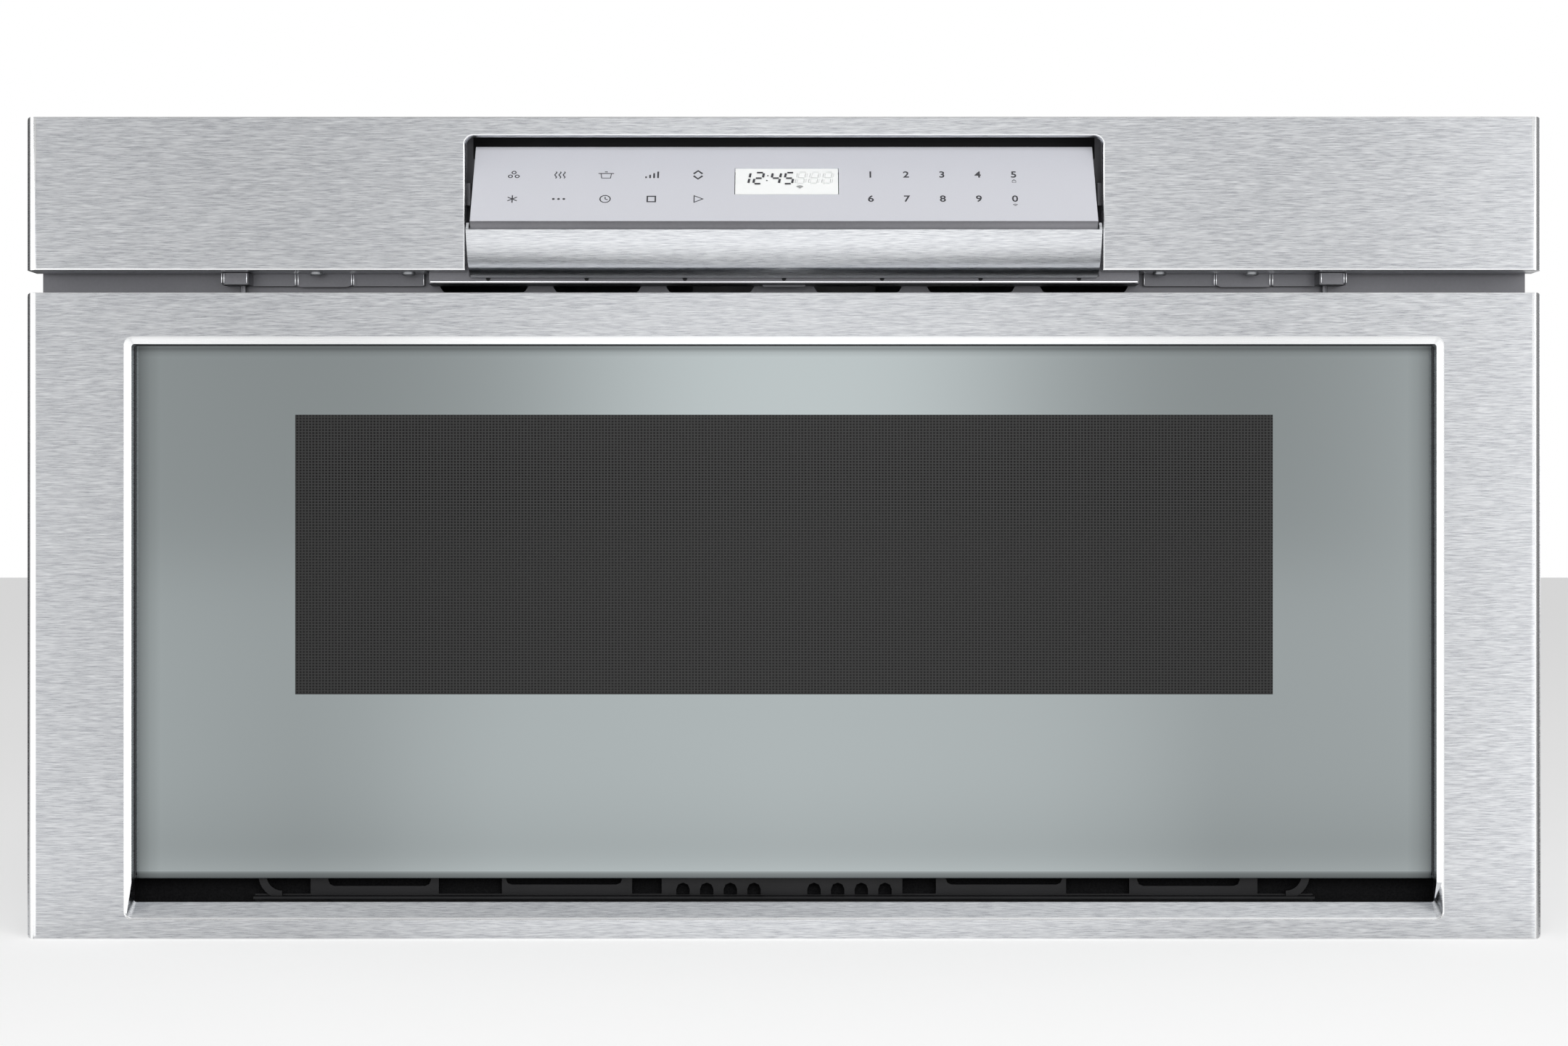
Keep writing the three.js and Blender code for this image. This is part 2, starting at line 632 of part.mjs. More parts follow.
// ---------------------------------------------------------------- face plate and cabinet
const SLOT = { x: [257, 277], z: [91, 153] }; // the slides and racks pass through
const STRIKER_HOLE = { x: [263, 273], z: [176, 190] };
const VENT = { half: 22.7, z: [324.3, 336.3], radius: 5.9, segments: 2, pitch: 57.6, first: 37.6 };
const LOWER_VENT = { half: 24, z: [34, 44], radius: 4.9, segments: 1 };
const FIXING = { x: 367, z: [70, 350], radius: 2.6 }; // screws into the kitchen cabinet
function facePlate() {
  const { half, low, high, front, back, skin } = PLATE;
  const inner = { half: BODY.half + 1.5, low: BODY.foot - 1, high: BODY.top + 1.5 };
  const cutting = [front - 1, back + 1];
  const holes = [
    box([-CAVITY.half + 0.5, CAVITY.half - 0.5], cutting, [CAVITY.low + 0.5, CAVITY.high - 0.5]),
  ];
  for (const x of both(SLOT.x)) holes.push(box(x, cutting, SLOT.z));
  for (const x of both(STRIKER_HOLE.x)) holes.push(box(x, cutting, STRIKER_HOLE.z));
  for (let i = 0; i < 3; i++) {
    for (const side of [-1, 1]) {
      const x = side * (VENT.first + VENT.pitch * i);
      for (const { half: reach, z, radius, segments } of [VENT, LOWER_VENT]) {
        holes.push(inwards(rectangle([x - reach, x + reach], z, radius), cutting, segments));
      }
    }
  }
  for (const x of both([FIXING.x, FIXING.x])) {
    for (const z of FIXING.z) holes.push(inwards(disc(x[0], z, FIXING.radius), cutting, 4));
  }
  const hem = cut(
    box([-half, half], [front, back], [low, high]),
    box([-inner.half, inner.half], [skin, back + 1], [inner.low, inner.high]),
  );
  return cut(hem, ...holes);
}

// Top and sides in one folded sheet, with pressed stiffening beads.
const BEAD = { from: 110, to: 550, reach: 9, deep: 1.5, sides: [130, 270], tops: [-220, 0, 220] };
function cabinetWrap() {
  const { half, floor, top, front, back } = BODY;
  const skin = half - SHEET;
  const hood = inwards(rectangle([-half, half], [floor, top], [0, 0, 3, 3]), [front, back], 2);
  const hollow = inwards(
    rectangle([-skin, skin], [floor - 1, top - SHEET], [0, 0, 2, 2]),
    [front - 1, back + 1],
    2,
  );
  const beads = [];
  const grooves = [];
  const { from, to, reach, deep, sides, tops } = BEAD;
  const length = [from, to];
  const inside = [from + 1, to - 1];
  for (const z of sides) {
    for (const x of both([skin - deep, skin + 0.5])) {
      beads.push(box(x, length, [z - reach, z + reach]));
    }
    for (const x of both([skin - 0.5, half + 1])) {
      grooves.push(box(x, inside, [z - reach + SHEET, z + reach - SHEET]));
    }
  }
  for (const x of tops) {
    beads.push(box([x - reach, x + reach], length, [top - SHEET - deep, top - 0.5]));
    grooves.push(box([x - reach + SHEET, x + reach - SHEET], inside, [top - deep, top + 1]));
  }
  return cut(join(cut(hood, hollow), ...beads), ...grooves);
}

// The base stands on three pressed runners.
const RUNNER = { columns: [-240, 0, 240], reach: 30, from: 60, to: 600 };
const BASE_UPSTAND = 22;
function basePan() {
  const { foot, floor, front, back } = BODY;
  const half = BODY.half - SHEET - GAP;
  const y = [front, back];
  const upstand = [floor, floor + BASE_UPSTAND];
  const flanges = both([half - SHEET, half]).map((x) => box(x, y, upstand));
  const runners = [];
  const channels = [];
  const { columns, reach, from, to } = RUNNER;
  for (const x of columns) {
    const inside = reach - SHEET;
    runners.push(box([x - reach, x + reach], [from, to], [foot, floor + 0.5]));
    channels.push(
      box([x - inside, x + inside], [from + SHEET, to - SHEET], [foot + SHEET, floor + 2]),
    );
  }
  const sheet = box([-half, half], y, [floor, floor + SHEET]);
  const kick = box([-half, half], [back - SHEET, back], upstand);
  return cut(join(sheet, kick, ...flanges, ...runners), ...channels);
}

const GLAND = { x: -270, z: 70, barrel: 9.6, bore: 5, collar: 14, nut: 13 };
const LOUVRES = { columns: [-150, 60], rows: 8, low: 190, pitch: 16, width: 90, height: 5 };
function rearPanel() {
  const half = BODY.half - 1;
  const y = [BODY.back + GAP, REAR_FACE];
  const { columns, rows, low, pitch, width, height } = LOUVRES;
  const slots = [];
  for (let row = 0; row < rows; row++) {
    for (const x of columns) {
      const z = low + pitch * row;
      const slot = rectangle([x, x + width], [z, z + height], height / 2 - 0.1);
      slots.push(inwards(slot, [y[0] - 1, y[1] + 1], 1));
    }
  }
  const inlet = inwards(disc(GLAND.x, GLAND.z, GLAND.barrel + 1), [y[0] - 1, y[1] + 1], 5);
  return cut(box([-half, half], y, [BODY.floor, BODY.top - 0.5]), inlet, ...slots);
}

// The cord's gland: a collar through the rear panel, with a flange on each side.
function cordGland() {
  const { x, z, barrel, bore, collar, nut } = GLAND;
  const disk = (radius, y) => inwards(disc(x, z, radius), y, 5);
  const face = REAR_FACE;
  return cut(
    join(
      disk(barrel, [face - 12, REARMOST]),
      disk(collar, [face + GAP, face + 3]),
      disk(nut, [face - 5, face - 1.6]),
    ),
    disk(bore, [face - 13, REARMOST + 1]),
  );
}

place("face_plate", facePlate(), GREY_STEEL);
place("cabinet_wrap", cabinetWrap(), GALVANISED);
place("base_pan", basePan(), GALVANISED);
place("rear_panel", rearPanel(), GALVANISED);
place("cord_gland", cordGland(), BLACK_PLASTIC);

// ---------------------------------------------------------------- control pod
// Outlines in (y, z). The glass leans back about 42 degrees; under it the nose curls down and back.
const GLASS_FOOT = [-18, 357.7];
const GLASS_HEAD = [18.8, 398.0];
const slope = (() => {
  const [dy, dz] = [GLASS_HEAD[0] - GLASS_FOOT[0], GLASS_HEAD[1] - GLASS_FOOT[1]];
  const length = Math.hypot(dy, dz);
  return { length, up: [dy / length, dz / length], out: [-dz / length, dy / length] };
})();
// A point on the glass's own plane: s up the slope from its foot, h above its face.
const onSlope = (s, h) => [
  GLASS_FOOT[0] + s * slope.up[0] + h * slope.out[0],
  GLASS_FOOT[1] + s * slope.up[1] + h * slope.out[1],
];
const slab = ([from, to], [under, over]) =>
  polygon([onSlope(from, under), onSlope(to, under), onSlope(to, over), onSlope(from, over)]);

const CONTROL_GLASS_THICK = 3;
const BOARD_FACE = -7.8;
const DISPLAY = { s: [19.5, 38.9], x: [-24.7, 27.4] };

function controlGlass() {
  const plate = sideways(slab([0, slope.length], [-CONTROL_GLASS_THICK, 0]), [
    -POD.glassHalf,
    POD.glassHalf,
  ]);
  const [low, high] = DISPLAY.s;
  const [left, right] = DISPLAY.x;
  return cut(plate, sideways(slab([low, high], [-CONTROL_GLASS_THICK - 1, 1]), [left, right]));
}

function displayWindow() {
  const [low, high] = DISPLAY.s;
  const [left, right] = DISPLAY.x;
  return sideways(slab([low + GAP, high - GAP], [BOARD_FACE + GAP, -0.2]), [
    left + GAP,
    right - GAP,
  ]);
}

// A black moulding that carries the glass; its pocket holds the board.
const MOULDING = { deep: 8, skin: 1.5, rim: 6, pocketHalf: 148 };
function podFrame() {
  const { deep, skin, rim, pocketHalf } = MOULDING;
  const top = -CONTROL_GLASS_THICK - GAP;
  const body = slab([skin, slope.length + skin], [top - deep, top]);
  const pocket = slab([rim, slope.length - rim], [top - deep - 1, top - skin]);
  const display = slab(DISPLAY.s, [top - deep, top + 1]);
  return cut(
    sideways(body, [-POD.glassHalf, POD.glassHalf]),
    sideways(pocket, [-pocketHalf, pocketHalf]),
    sideways(display, DISPLAY.x),
  );
}

// The board stands off the frame's skin on posts, with its larger parts on the back.
function controlBoard() {
  const face = BOARD_FACE;
  const skin = -CONTROL_GLASS_THICK - GAP - MOULDING.skin;
  const posts = [-138, -60, 60, 138].flatMap((x) =>
    [10, slope.length - 14].map((s) =>
      sideways(slab([s, s + 4], [face - 0.5, skin - GAP]), [x - 2, x + 2]),
    ),
  );
  return join(
    sideways(slab([8, slope.length - 8], [face - 1.6, face]), [-145, 145]),
    sideways(slab([14, 24], [face - 5, face - 1]), [-110, -70]),
    sideways(slab([26, 36], [face - 4, face - 1]), [40, 90]),
    ...posts,
  );
}

const NOSE = { lip: [NOSE_FRONT, 353.2], heel: [-3.4, 334.0], bulge: 2.1, gauge: 1.2 };
const NOSE_FOOT = { z: 331.3, turn: 10.8, back: 11.4 }; // the curl runs on into a flat flange
const GUTTER = { y: -13.5, edge: 1.6 }; // the lip folds back and up in front of the glass
// The nose's outer curve: an arc through lip and heel that stands proud of their chord by the bulge.
function noseArc(inset, steps = 8) {
  const [y0, z0] = NOSE.lip;
  const [y1, z1] = NOSE.heel;
  const chord = Math.hypot(y1 - y0, z1 - z0);
  const radius = (chord * chord) / (8 * NOSE.bulge) + NOSE.bulge / 2;
  const [dy, dz] = [(y1 - y0) / chord, (z1 - z0) / chord];
  const reach = radius - NOSE.bulge;
  // dz, -dy points down and out, so the centre lies the other way.
  const centre = [(y0 + y1) / 2 - dz * reach, (z0 + z1) / 2 + dy * reach];
  const start = Math.atan2(z0 - centre[1], y0 - centre[0]);
  let sweep = Math.atan2(z1 - centre[1], y1 - centre[0]) - start;
  if (sweep < 0) sweep += 2 * Math.PI;
  const points = [];
  for (let i = 0; i <= steps; i++) {
    const a = start + (sweep * i) / steps;
    points.push([
      centre[0] + (radius - inset) * Math.cos(a),
      centre[1] + (radius - inset) * Math.sin(a),
    ]);
  }
  return points;
}

function podNose() {
  const { lip, heel, gauge } = NOSE;
  const { z: foot, turn, back } = NOSE_FOOT;
  const gutter = GUTTER.y;
  const edge = lip[1] + GUTTER.edge;
  const skin = polygon([
    ...noseArc(0),
    [heel[0] + turn, foot],
    [back, foot],
    [back, foot + gauge],
    [heel[0] + turn + gauge, foot + gauge],
    ...noseArc(gauge).reverse().slice(0, -1),
    [lip[0] + GUTTER.edge, lip[1] - gauge],
    [gutter, lip[1] - gauge + 0.4],
    [gutter, edge],
    [gutter - 0.9, edge],
    [gutter - 0.9, lip[1] + 0.2],
  ]);
  const cheek = polygon([
    ...noseArc(0),
    [heel[0] + turn, foot],
    [back, foot],
    [back, 352],
    onSlope(8, -CONTROL_GLASS_THICK - 9),
    onSlope(1.0, -CONTROL_GLASS_THICK - 0.4),
    onSlope(-0.6, -0.6),
  ]);
  const cheeks = both([POD.half - 1.4, POD.half]).map((x) => sideways(cheek, x));
  return join(sideways(skin, [-POD.half, POD.half]), ...cheeks);
}

// A steel box behind the fascia holds the pod; its shelf shows as a thin bright line in the gap.
const HOUSING = { front: 12, back: 32.7, shelf: 328.5, top: 400, sill: 352, splay: 3.5, rim: 0.4 };
const SHOULDER = { inner: 160.2, y: [18, 19] };
const EAR = { x: [158.0, 160.6], y: [14, 19], z: [368, 379.4] }; // carries the pod at each end
const MIDDLE_CLIP = { half: 10.9, y: [20, 21], low: 327.3 };
function podHousing() {
  const { front, back, shelf, top, sill, splay, rim } = HOUSING;
  const half = POD.housingHalf;
  const edge = half + rim;
  const tray = upwards(
    polygon([
      [-half + splay, front - 1.5],
      [half - splay, front - 1.5],
      [edge, front + splay - 1.5],
      [edge, back],
      [-edge, back],
      [-edge, front + splay - 1.5],
    ]),
    [shelf, shelf + SHEET],
  );
  const doorway = POD.half + 1;
  const wall = cut(
    box([-half, half], [front, front + SHEET], [shelf, sill]),
    box([-doorway, doorway], [front - 1, front + 2], [NOSE_FOOT.z + 0.9, sill + 1]),
  );
  // Above the fascia's flange the side walls reach forward to its skin.
  const aboveFlange = FASCIA_FOOT + SHEET + GAP;
  const sides = both([half - SHEET, half]).flatMap((x) => [
    box(x, [front, back], [shelf, top]),
    box(x, [SHEET + GAP, back], [aboveFlange, top]),
  ]);
  const shoulders = both([SHOULDER.inner, half]).map((x) => box(x, SHOULDER.y, [shelf, top]));
  const ears = both(EAR.x).map((x) => box(x, EAR.y, EAR.z));
  const clip = rectangle([-MIDDLE_CLIP.half, MIDDLE_CLIP.half], [MIDDLE_CLIP.low, shelf + 0.5], [
    1, 1, 0, 0,
  ]);
  return join(tray, wall, ...sides, ...shoulders, ...ears, inwards(clip, MIDDLE_CLIP.y, 2));
}

place("control_glass", controlGlass(), SILVER_PRINT);
place("display_window", displayWindow(), DISPLAY_WHITE);
place("pod_frame", podFrame(), BLACK_PLASTIC);
place("control_board", controlBoard(), BOARD_GREEN);
place("pod_nose", podNose(), STAINLESS);
place("pod_housing", podHousing(), GREY_STEEL);

// Brackets in the gap under the fascia: three overlapping panels, a tab on the fascia's flange,
// and a block on the face plate with its stop pin.
const GAP_PANELS = [
  { x: [182.7, 219.6], low: 328.3, front: 28.8, radius: 1 },
  { x: [219.0, 248.6], low: 327.8, front: 27.9, radius: 3 },
  { x: [248.0, 272], low: 328.3, front: 28.8, radius: 1 },
];
const GAP_WEB = { x: [182.7, 284], low: 331, top: 352, back: 30 };
const FLANGE_TAB = { x: [182.7, 246], front: 12, thick: 1.2 };
const STOP_BLOCK = { x: [269.7, 283.9], front: 16, low: 328.4, radius: 2.6 };
const STOP_PIN = { x: 274.9, y: 30.4, radius: 1.5, z: [312, 330] };
function fasciaBracket() {
  const { back, top } = GAP_WEB;
  const panels = GAP_PANELS.map(({ x, low, front, radius }) =>
    inwards(rectangle(x, [low, top], [radius, radius, 0, 0]), [front, back], 1),
  );
  const onFlange = FASCIA_FOOT + SHEET + GAP;
  const plateFace = PLATE.front - GAP;
  const tab = rectangle(FLANGE_TAB.x, [FLANGE_TAB.front, back], [4, 4, 0, 0]);
  const block = rectangle(STOP_BLOCK.x, [STOP_BLOCK.front, plateFace], STOP_BLOCK.radius);
  return join(
    ...panels,
    box(GAP_WEB.x, [GAP_PANELS[0].front, back], [GAP_WEB.low, top]),
    upwards(tab, [onFlange, onFlange + FLANGE_TAB.thick], 2),
    upwards(block, [STOP_BLOCK.low, FASCIA_FOOT - GAP], 2),
    box(STOP_BLOCK.x, [back - 1, plateFace], [STOP_BLOCK.low + 1.6, top]),
    upwards(disc(STOP_PIN.x, STOP_PIN.y, STOP_PIN.radius), STOP_PIN.z, 4),
  );
}
placePair("fascia_bracket", fasciaBracket(), GREY_STEEL);

// ---------------------------------------------------------------- microwave and air system
// The fixed cavity: five welded walls, with a round stirrer well pressed up from the ceiling.
function cavityShell() {
  const { half, low, high, back } = CAVITY;
  const front = BODY.front;
  const well = (radius, z) => upwards(disc(0, DOME.y, radius), z, 8);
  return cut(
    join(
      box([-half, half], [front, back], [low, high]),
      well(DOME.radius, [high - 2, DOME.top]),
    ),
    box(
      [-half + SHEET, half - SHEET],
      [front - 1, back - SHEET],
      [low + SHEET, high - SHEET],
    ),
    well(DOME.radius - SHEET, [high - 3, DOME.top - SHEET]),
    well(40, [DOME.top - 3, DOME.top + 1]),
  );
}

const stirrerCover = () =>
  upwards(disc(0, DOME.y, DOME.radius - SHEET - 0.5), [CAVITY.high - 1.5, CAVITY.high - 0.2], 8);

const GUIDE = { half: 50, low: DOME.top + GAP, high: 345, front: 175, back: 565, wall: 1.2 };
const ANTENNA_Y = 520;
function waveguide() {
  const { half, low, high, front, back, wall } = GUIDE;
  return cut(
    box([-half, half], [front, back], [low, high]),
    box([-half + wall, half - wall], [front + wall, back - wall], [low + wall, high - wall]),
    upwards(disc(0, DOME.y, 38), [low - 1, low + wall + 1], 5),
    upwards(disc(0, ANTENNA_Y, 17), [low - 1, low + wall + 1], 4),
    upwards(disc(0, DOME.y, 5), [high - wall - 1, high + 1], 3),
  );
}

// A four-bladed stirrer on a shaft that hangs through the waveguide.
const STIRRER = { z: 295, blades: 4, size: [58, 34, 1.2], reach: 39, pitch: 14, hub: 13, shaft: 3 };
function stirrer() {
  const { z, size, reach, pitch, hub, shaft } = STIRRER;
  const blades = [];
  for (let i = 0; i < STIRRER.blades; i++) {
    const blade = solid(
      new THREE.BoxGeometry(...size)
        .rotateX(THREE.MathUtils.degToRad(pitch))
        .translate(reach, 0, z)
        .rotateZ((i * 2 * Math.PI) / STIRRER.blades)
        .translate(0, DOME.y, 0),
    );
    blades.push(blade);
  }
  return join(
    upwards(disc(0, DOME.y, hub), [z - 4, z + 4], 3),
    upwards(disc(0, DOME.y, shaft), [z, GUIDE.high], 3),
    ...blades,
  );
}

// A flat synchronous motor, screwed down by the ears of its mounting plate.
const STIRRER_MOTOR = { radius: 24, tall: 17.4, ear: { half: 32, wide: 7, thick: 1.7 } };
function stirrerMotor() {
  const { radius, tall, ear } = STIRRER_MOTOR;
  const seat = GUIDE.high + GAP;
  const plate = rectangle([-ear.half, ear.half], [DOME.y - ear.wide, DOME.y + ear.wide], 6);
  return join(
    upwards(disc(0, DOME.y, radius), [seat + GAP, seat + GAP + tall], 5),
    upwards(plate, [seat, seat + ear.thick], 2),
  );
}

// Magnetron: anode block, cooling fins in a folded yoke, filter box below and the antenna above.
const YOKE = { x: 44, y: 36, high: 6, low: 74, plate: 2 };
const FINS = { count: 6, first: 16, pitch: 9, thick: 0.6, x: 40, y: 29 };
const ANODE = { radius: 18, tall: 80, antenna: 9, rise: 28 };
const FILTER = { x: 32, y: 30, tall: 31 };
function magnetron() {
  const y = ANTENNA_Y;
  const top = GUIDE.low - GAP;
  const across = [-YOKE.x, YOKE.x];
  const yoke = cut(
    box(across, [y - YOKE.y, y + YOKE.y], [top - YOKE.low, top - YOKE.high]),
    box(
      [-YOKE.x - 1, YOKE.x + 1],
      [y - YOKE.y + YOKE.plate, y + YOKE.y - YOKE.plate],
      [top - YOKE.low + YOKE.plate, top - YOKE.high - YOKE.plate],
    ),
  );
  const fins = [];
  for (let i = 0; i < FINS.count; i++) {
    const z = top - FINS.first - FINS.pitch * i;
    fins.push(box([-FINS.x, FINS.x], [y - FINS.y, y + FINS.y], [z - FINS.thick, z]));
  }
  const foot = top - YOKE.low;
  return join(
    yoke,
    upwards(disc(0, y, ANODE.radius), [top - ANODE.tall, top], 5),
    upwards(disc(0, y, ANODE.antenna), [top - 1, top + ANODE.rise], 4),
    box([-FILTER.x, FILTER.x], [y - FILTER.y, y + FILTER.y], [foot - FILTER.tall + 1, foot + 1]),
    ...fins,
  );
}

// A laminated core on a foot plate, with its two windings rounded over the ends.
const CORE = { x: [80, 180], y: [512, 584], tall: 82, foot: { x: [70, 190], y: [524, 572] } };
const WINDING = { x: [92, 168], y: [496, 600], radius: 12, layers: [[14, 38], [44, 68]] };
function transformer() {
  const windings = WINDING.layers.map((z) =>
    upwards(
      rectangle(WINDING.x, WINDING.y, WINDING.radius),
      z.map((level) => DECK + level),
      2,
    ),
  );
  return join(
    box(CORE.x, CORE.y, [DECK, DECK + CORE.tall]),
    box(CORE.foot.x, CORE.foot.y, [DECK, DECK + 2]),
    ...windings,
  );
}

// An oval can with two blade terminals.
const OVAL = { x: [222, 256], y: [520, 574], radius: 16.9, tall: 96 };
const BLADES = [
  [[228, 232], [536, 546]],
  [[246, 250], [548, 558]],
];
function capacitor() {
  const lid = DECK + OVAL.tall;
  return join(
    upwards(rectangle(OVAL.x, OVAL.y, OVAL.radius), [DECK, lid], 4),
    ...BLADES.map(([x, y]) => box(x, y, [lid - 1, lid + 8])),
  );
}

// The fan blows through a collar in a square plate that stands on the base.
const FAN = { y: 548, z: 232, radius: 58, x: [-128, -104], plate: 66 };
const FAN_BLADE = { count: 5, thick: 1.4, chord: 30, twist: 62, x: -117, clear: 4 };
const FAN_HUB = { radius: 17, x: [-125, -109], spindle: 3, tip: -134.6 };
function fanShroud() {
  const { y, z, radius, plate: half } = FAN;
  const [from, to] = FAN.x;
  const plate = cut(
    sideways(rectangle([y - half, y + half], [z - half, z + half], 8), [to - 1.5, to], 2),
    sideways(disc(y, z, radius - 0.5), [to - 3, to + 1], 6),
  );
  const collar = cut(
    sideways(disc(y, z, radius + 2), [from, to - 1], 6),
    sideways(disc(y, z, radius), [from - 1, to + 1], 6),
  );
  const stand = box([to - 1.5, to], [y - 40, y + 40], [DECK, z - half + 2]);
  return join(plate, collar, stand);
}

function fanWheel() {
  const { y, z, radius } = FAN;
  const { count, thick, chord, twist, x, clear } = FAN_BLADE;
  const [start, reach] = [FAN_HUB.radius - 5, radius - clear];
  const blades = [];
  for (let i = 0; i < count; i++) {
    const blade = solid(
      new THREE.BoxGeometry(thick, chord, reach - start)
        .rotateZ(THREE.MathUtils.degToRad(twist))
        .translate(0, 0, (reach + start) / 2)
        .rotateX((i * 2 * Math.PI) / count)
        .translate(x, y, z),
    );
    blades.push(blade);
  }
  const hub = sideways(disc(y, z, FAN_HUB.radius), FAN_HUB.x);
  const spindle = sideways(disc(y, z, FAN_HUB.spindle), [FAN_HUB.tip, FAN_HUB.x[0] + 1], 3);
  return join(hub, spindle, ...blades);
}

// The fan's motor hangs on a strap whose arms reach past the collar to the shroud's plate.
const FAN_MOTOR = { x: [-163, -135], stack: [30, 24], end: -172, bell: 17, strap: -140, wide: 7 };
function fanMotor() {
  const { y, z } = FAN;
  const { x, stack, end, bell, strap, wide } = FAN_MOTOR;
  const reach = FAN.radius + 8;
  const height = [z - wide, z + wide];
  const arms = [-reach, reach - 2].map((from) =>
    box([strap, FAN.x[1] - 1.5 - GAP], [y + from, y + from + 2], height),
  );
  return join(
    box(x, [y - stack[0], y + stack[0]], [z - stack[1], z + stack[1]]),
    sideways(disc(y, z, bell), [end, x[1]]),
    box([strap, strap + 2], [y - reach, y + reach], height),
    ...arms,
  );
}

// A sleeve from the fan to the magnetron's fins.
const DUCT = { x: [-103.5, -45], y: [FAN.y - 66, FAN.y + 62], z: [166, 300], wall: 1.2 };
function airDuct() {
  const { x, y, z, wall } = DUCT;
  const shrink = ([from, to]) => [from + wall, to - wall];
  return cut(box(x, y, z), box([x[0] - 1, x[1] + 1], shrink(y), shrink(z)));
}

// The hood leads the warm air forward to the vents over the drawer.
const HOOD = { half: 186, back: 150, z: [312, 348] };
function exhaustHood() {
  const { half, back, z } = HOOD;
  return cut(
    box([-half, half], [BODY.front, back], z),
    box([-half + SHEET, half - SHEET], [BODY.front - 1, back + 1], [z[0] + SHEET, z[1] - SHEET]),
  );
}

// A board on four posts: relays and a choke as blocks, the smoothing capacitors as cans.
const BOARD = { x: [-340, -200], y: [484, 606], lift: 7, thick: 1.6, inset: 6, post: 3 };
const BLOCKS = [
  { x: [-325, -300], y: [500, 540], tall: 28 },
  { x: [-250, -226], y: [560, 590], tall: 16 },
];
const CANS = [
  { x: -276, y: 518, radius: 13, tall: 30 },
  { x: -305, y: 576, radius: 14, tall: 34 },
];
function powerBoard() {
  const { x, y, lift, thick, inset, post } = BOARD;
  const face = DECK + lift + thick - 0.6;
  const posts = [x[0] + inset, x[1] - inset].flatMap((px) =>
    [y[0] + inset, y[1] - inset].map((py) =>
      box([px - post, px + post], [py - post, py + post], [DECK, face]),
    ),
  );
  return join(
    box(x, y, [DECK + lift, DECK + lift + thick]),
    ...posts,
    ...BLOCKS.map((part) => box(part.x, part.y, [face, face + part.tall])),
    ...CANS.map((can) => upwards(disc(can.x, can.y, can.radius), [face, face + can.tall], 4)),
  );
}

// A snap-action switch that the drawer's striker holds in while the drawer is shut.
const BUTTON = { x: [265, 271], z: [178, 188] };
function interlockSwitch() {
  const { x, y, z } = SWITCH;
  return join(
    box(x, y, z),
    box(BUTTON.x, [STRIKER.tip + GAP, y[0] + 1], BUTTON.z),
    box(x, [y[0] + 4, y[1] - 4], [z[0] - 8, z[1] + 3]),
  );
}

const LAMP = { x: [-196, -160], y: [430, 462], tall: 22, barrel: 8, end: -212 };
function cavityLamp() {
  const { x, y, tall, barrel, end } = LAMP;
  const seat = CAVITY.high;
  const middle = (y[0] + y[1]) / 2;
  return join(
    box(x, y, [seat + GAP, seat + tall]),
    sideways(disc(middle, seat + 12, barrel), [end, x[0] + 1], 4),
  );
}

place("cavity_shell", cavityShell(), OVEN_ENAMEL);
place("stirrer_cover", stirrerCover(), CERAMIC);
place("waveguide", waveguide(), ALUMINIUM);
place("stirrer", stirrer(), ALUMINIUM);
place("stirrer_motor", stirrerMotor(), GREY_STEEL);
place("magnetron", magnetron(), ALUMINIUM);
place("hv_transformer", transformer(), COPPER);
place("hv_capacitor", capacitor(), ALUMINIUM);
place("fan_shroud", fanShroud(), GALVANISED);
place("fan_wheel", fanWheel(), BLACK_PLASTIC);
place("fan_motor", fanMotor(), GREY_STEEL);
place("air_duct", airDuct(), GALVANISED);
place("exhaust_hood", exhaustHood(), GALVANISED);
place("power_board", powerBoard(), BOARD_GREEN);
placePair("interlock_switch", interlockSwitch(), BLACK_PLASTIC);
place("cavity_lamp", cavityLamp(), CERAMIC);

export default root;
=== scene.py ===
import json
import math
import bpy
from mathutils import Matrix, Vector

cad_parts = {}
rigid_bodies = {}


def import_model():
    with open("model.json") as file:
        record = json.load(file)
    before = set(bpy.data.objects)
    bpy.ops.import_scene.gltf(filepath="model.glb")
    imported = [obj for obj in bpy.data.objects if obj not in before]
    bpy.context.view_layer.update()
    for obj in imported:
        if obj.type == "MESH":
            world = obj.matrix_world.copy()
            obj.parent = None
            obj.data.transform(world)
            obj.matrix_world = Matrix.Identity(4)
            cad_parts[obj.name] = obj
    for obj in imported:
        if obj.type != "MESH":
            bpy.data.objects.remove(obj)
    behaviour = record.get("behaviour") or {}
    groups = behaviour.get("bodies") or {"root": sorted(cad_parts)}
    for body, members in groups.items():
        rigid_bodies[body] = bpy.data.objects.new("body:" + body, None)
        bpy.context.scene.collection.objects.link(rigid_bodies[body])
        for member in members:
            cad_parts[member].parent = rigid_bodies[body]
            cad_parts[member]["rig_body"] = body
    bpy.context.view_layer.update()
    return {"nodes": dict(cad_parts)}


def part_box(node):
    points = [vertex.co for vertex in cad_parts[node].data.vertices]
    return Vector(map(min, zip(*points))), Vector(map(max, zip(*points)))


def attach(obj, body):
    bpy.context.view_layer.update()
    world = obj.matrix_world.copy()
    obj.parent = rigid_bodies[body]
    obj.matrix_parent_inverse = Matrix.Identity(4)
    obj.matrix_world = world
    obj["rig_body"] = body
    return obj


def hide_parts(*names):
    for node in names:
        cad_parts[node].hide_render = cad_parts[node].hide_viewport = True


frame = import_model()

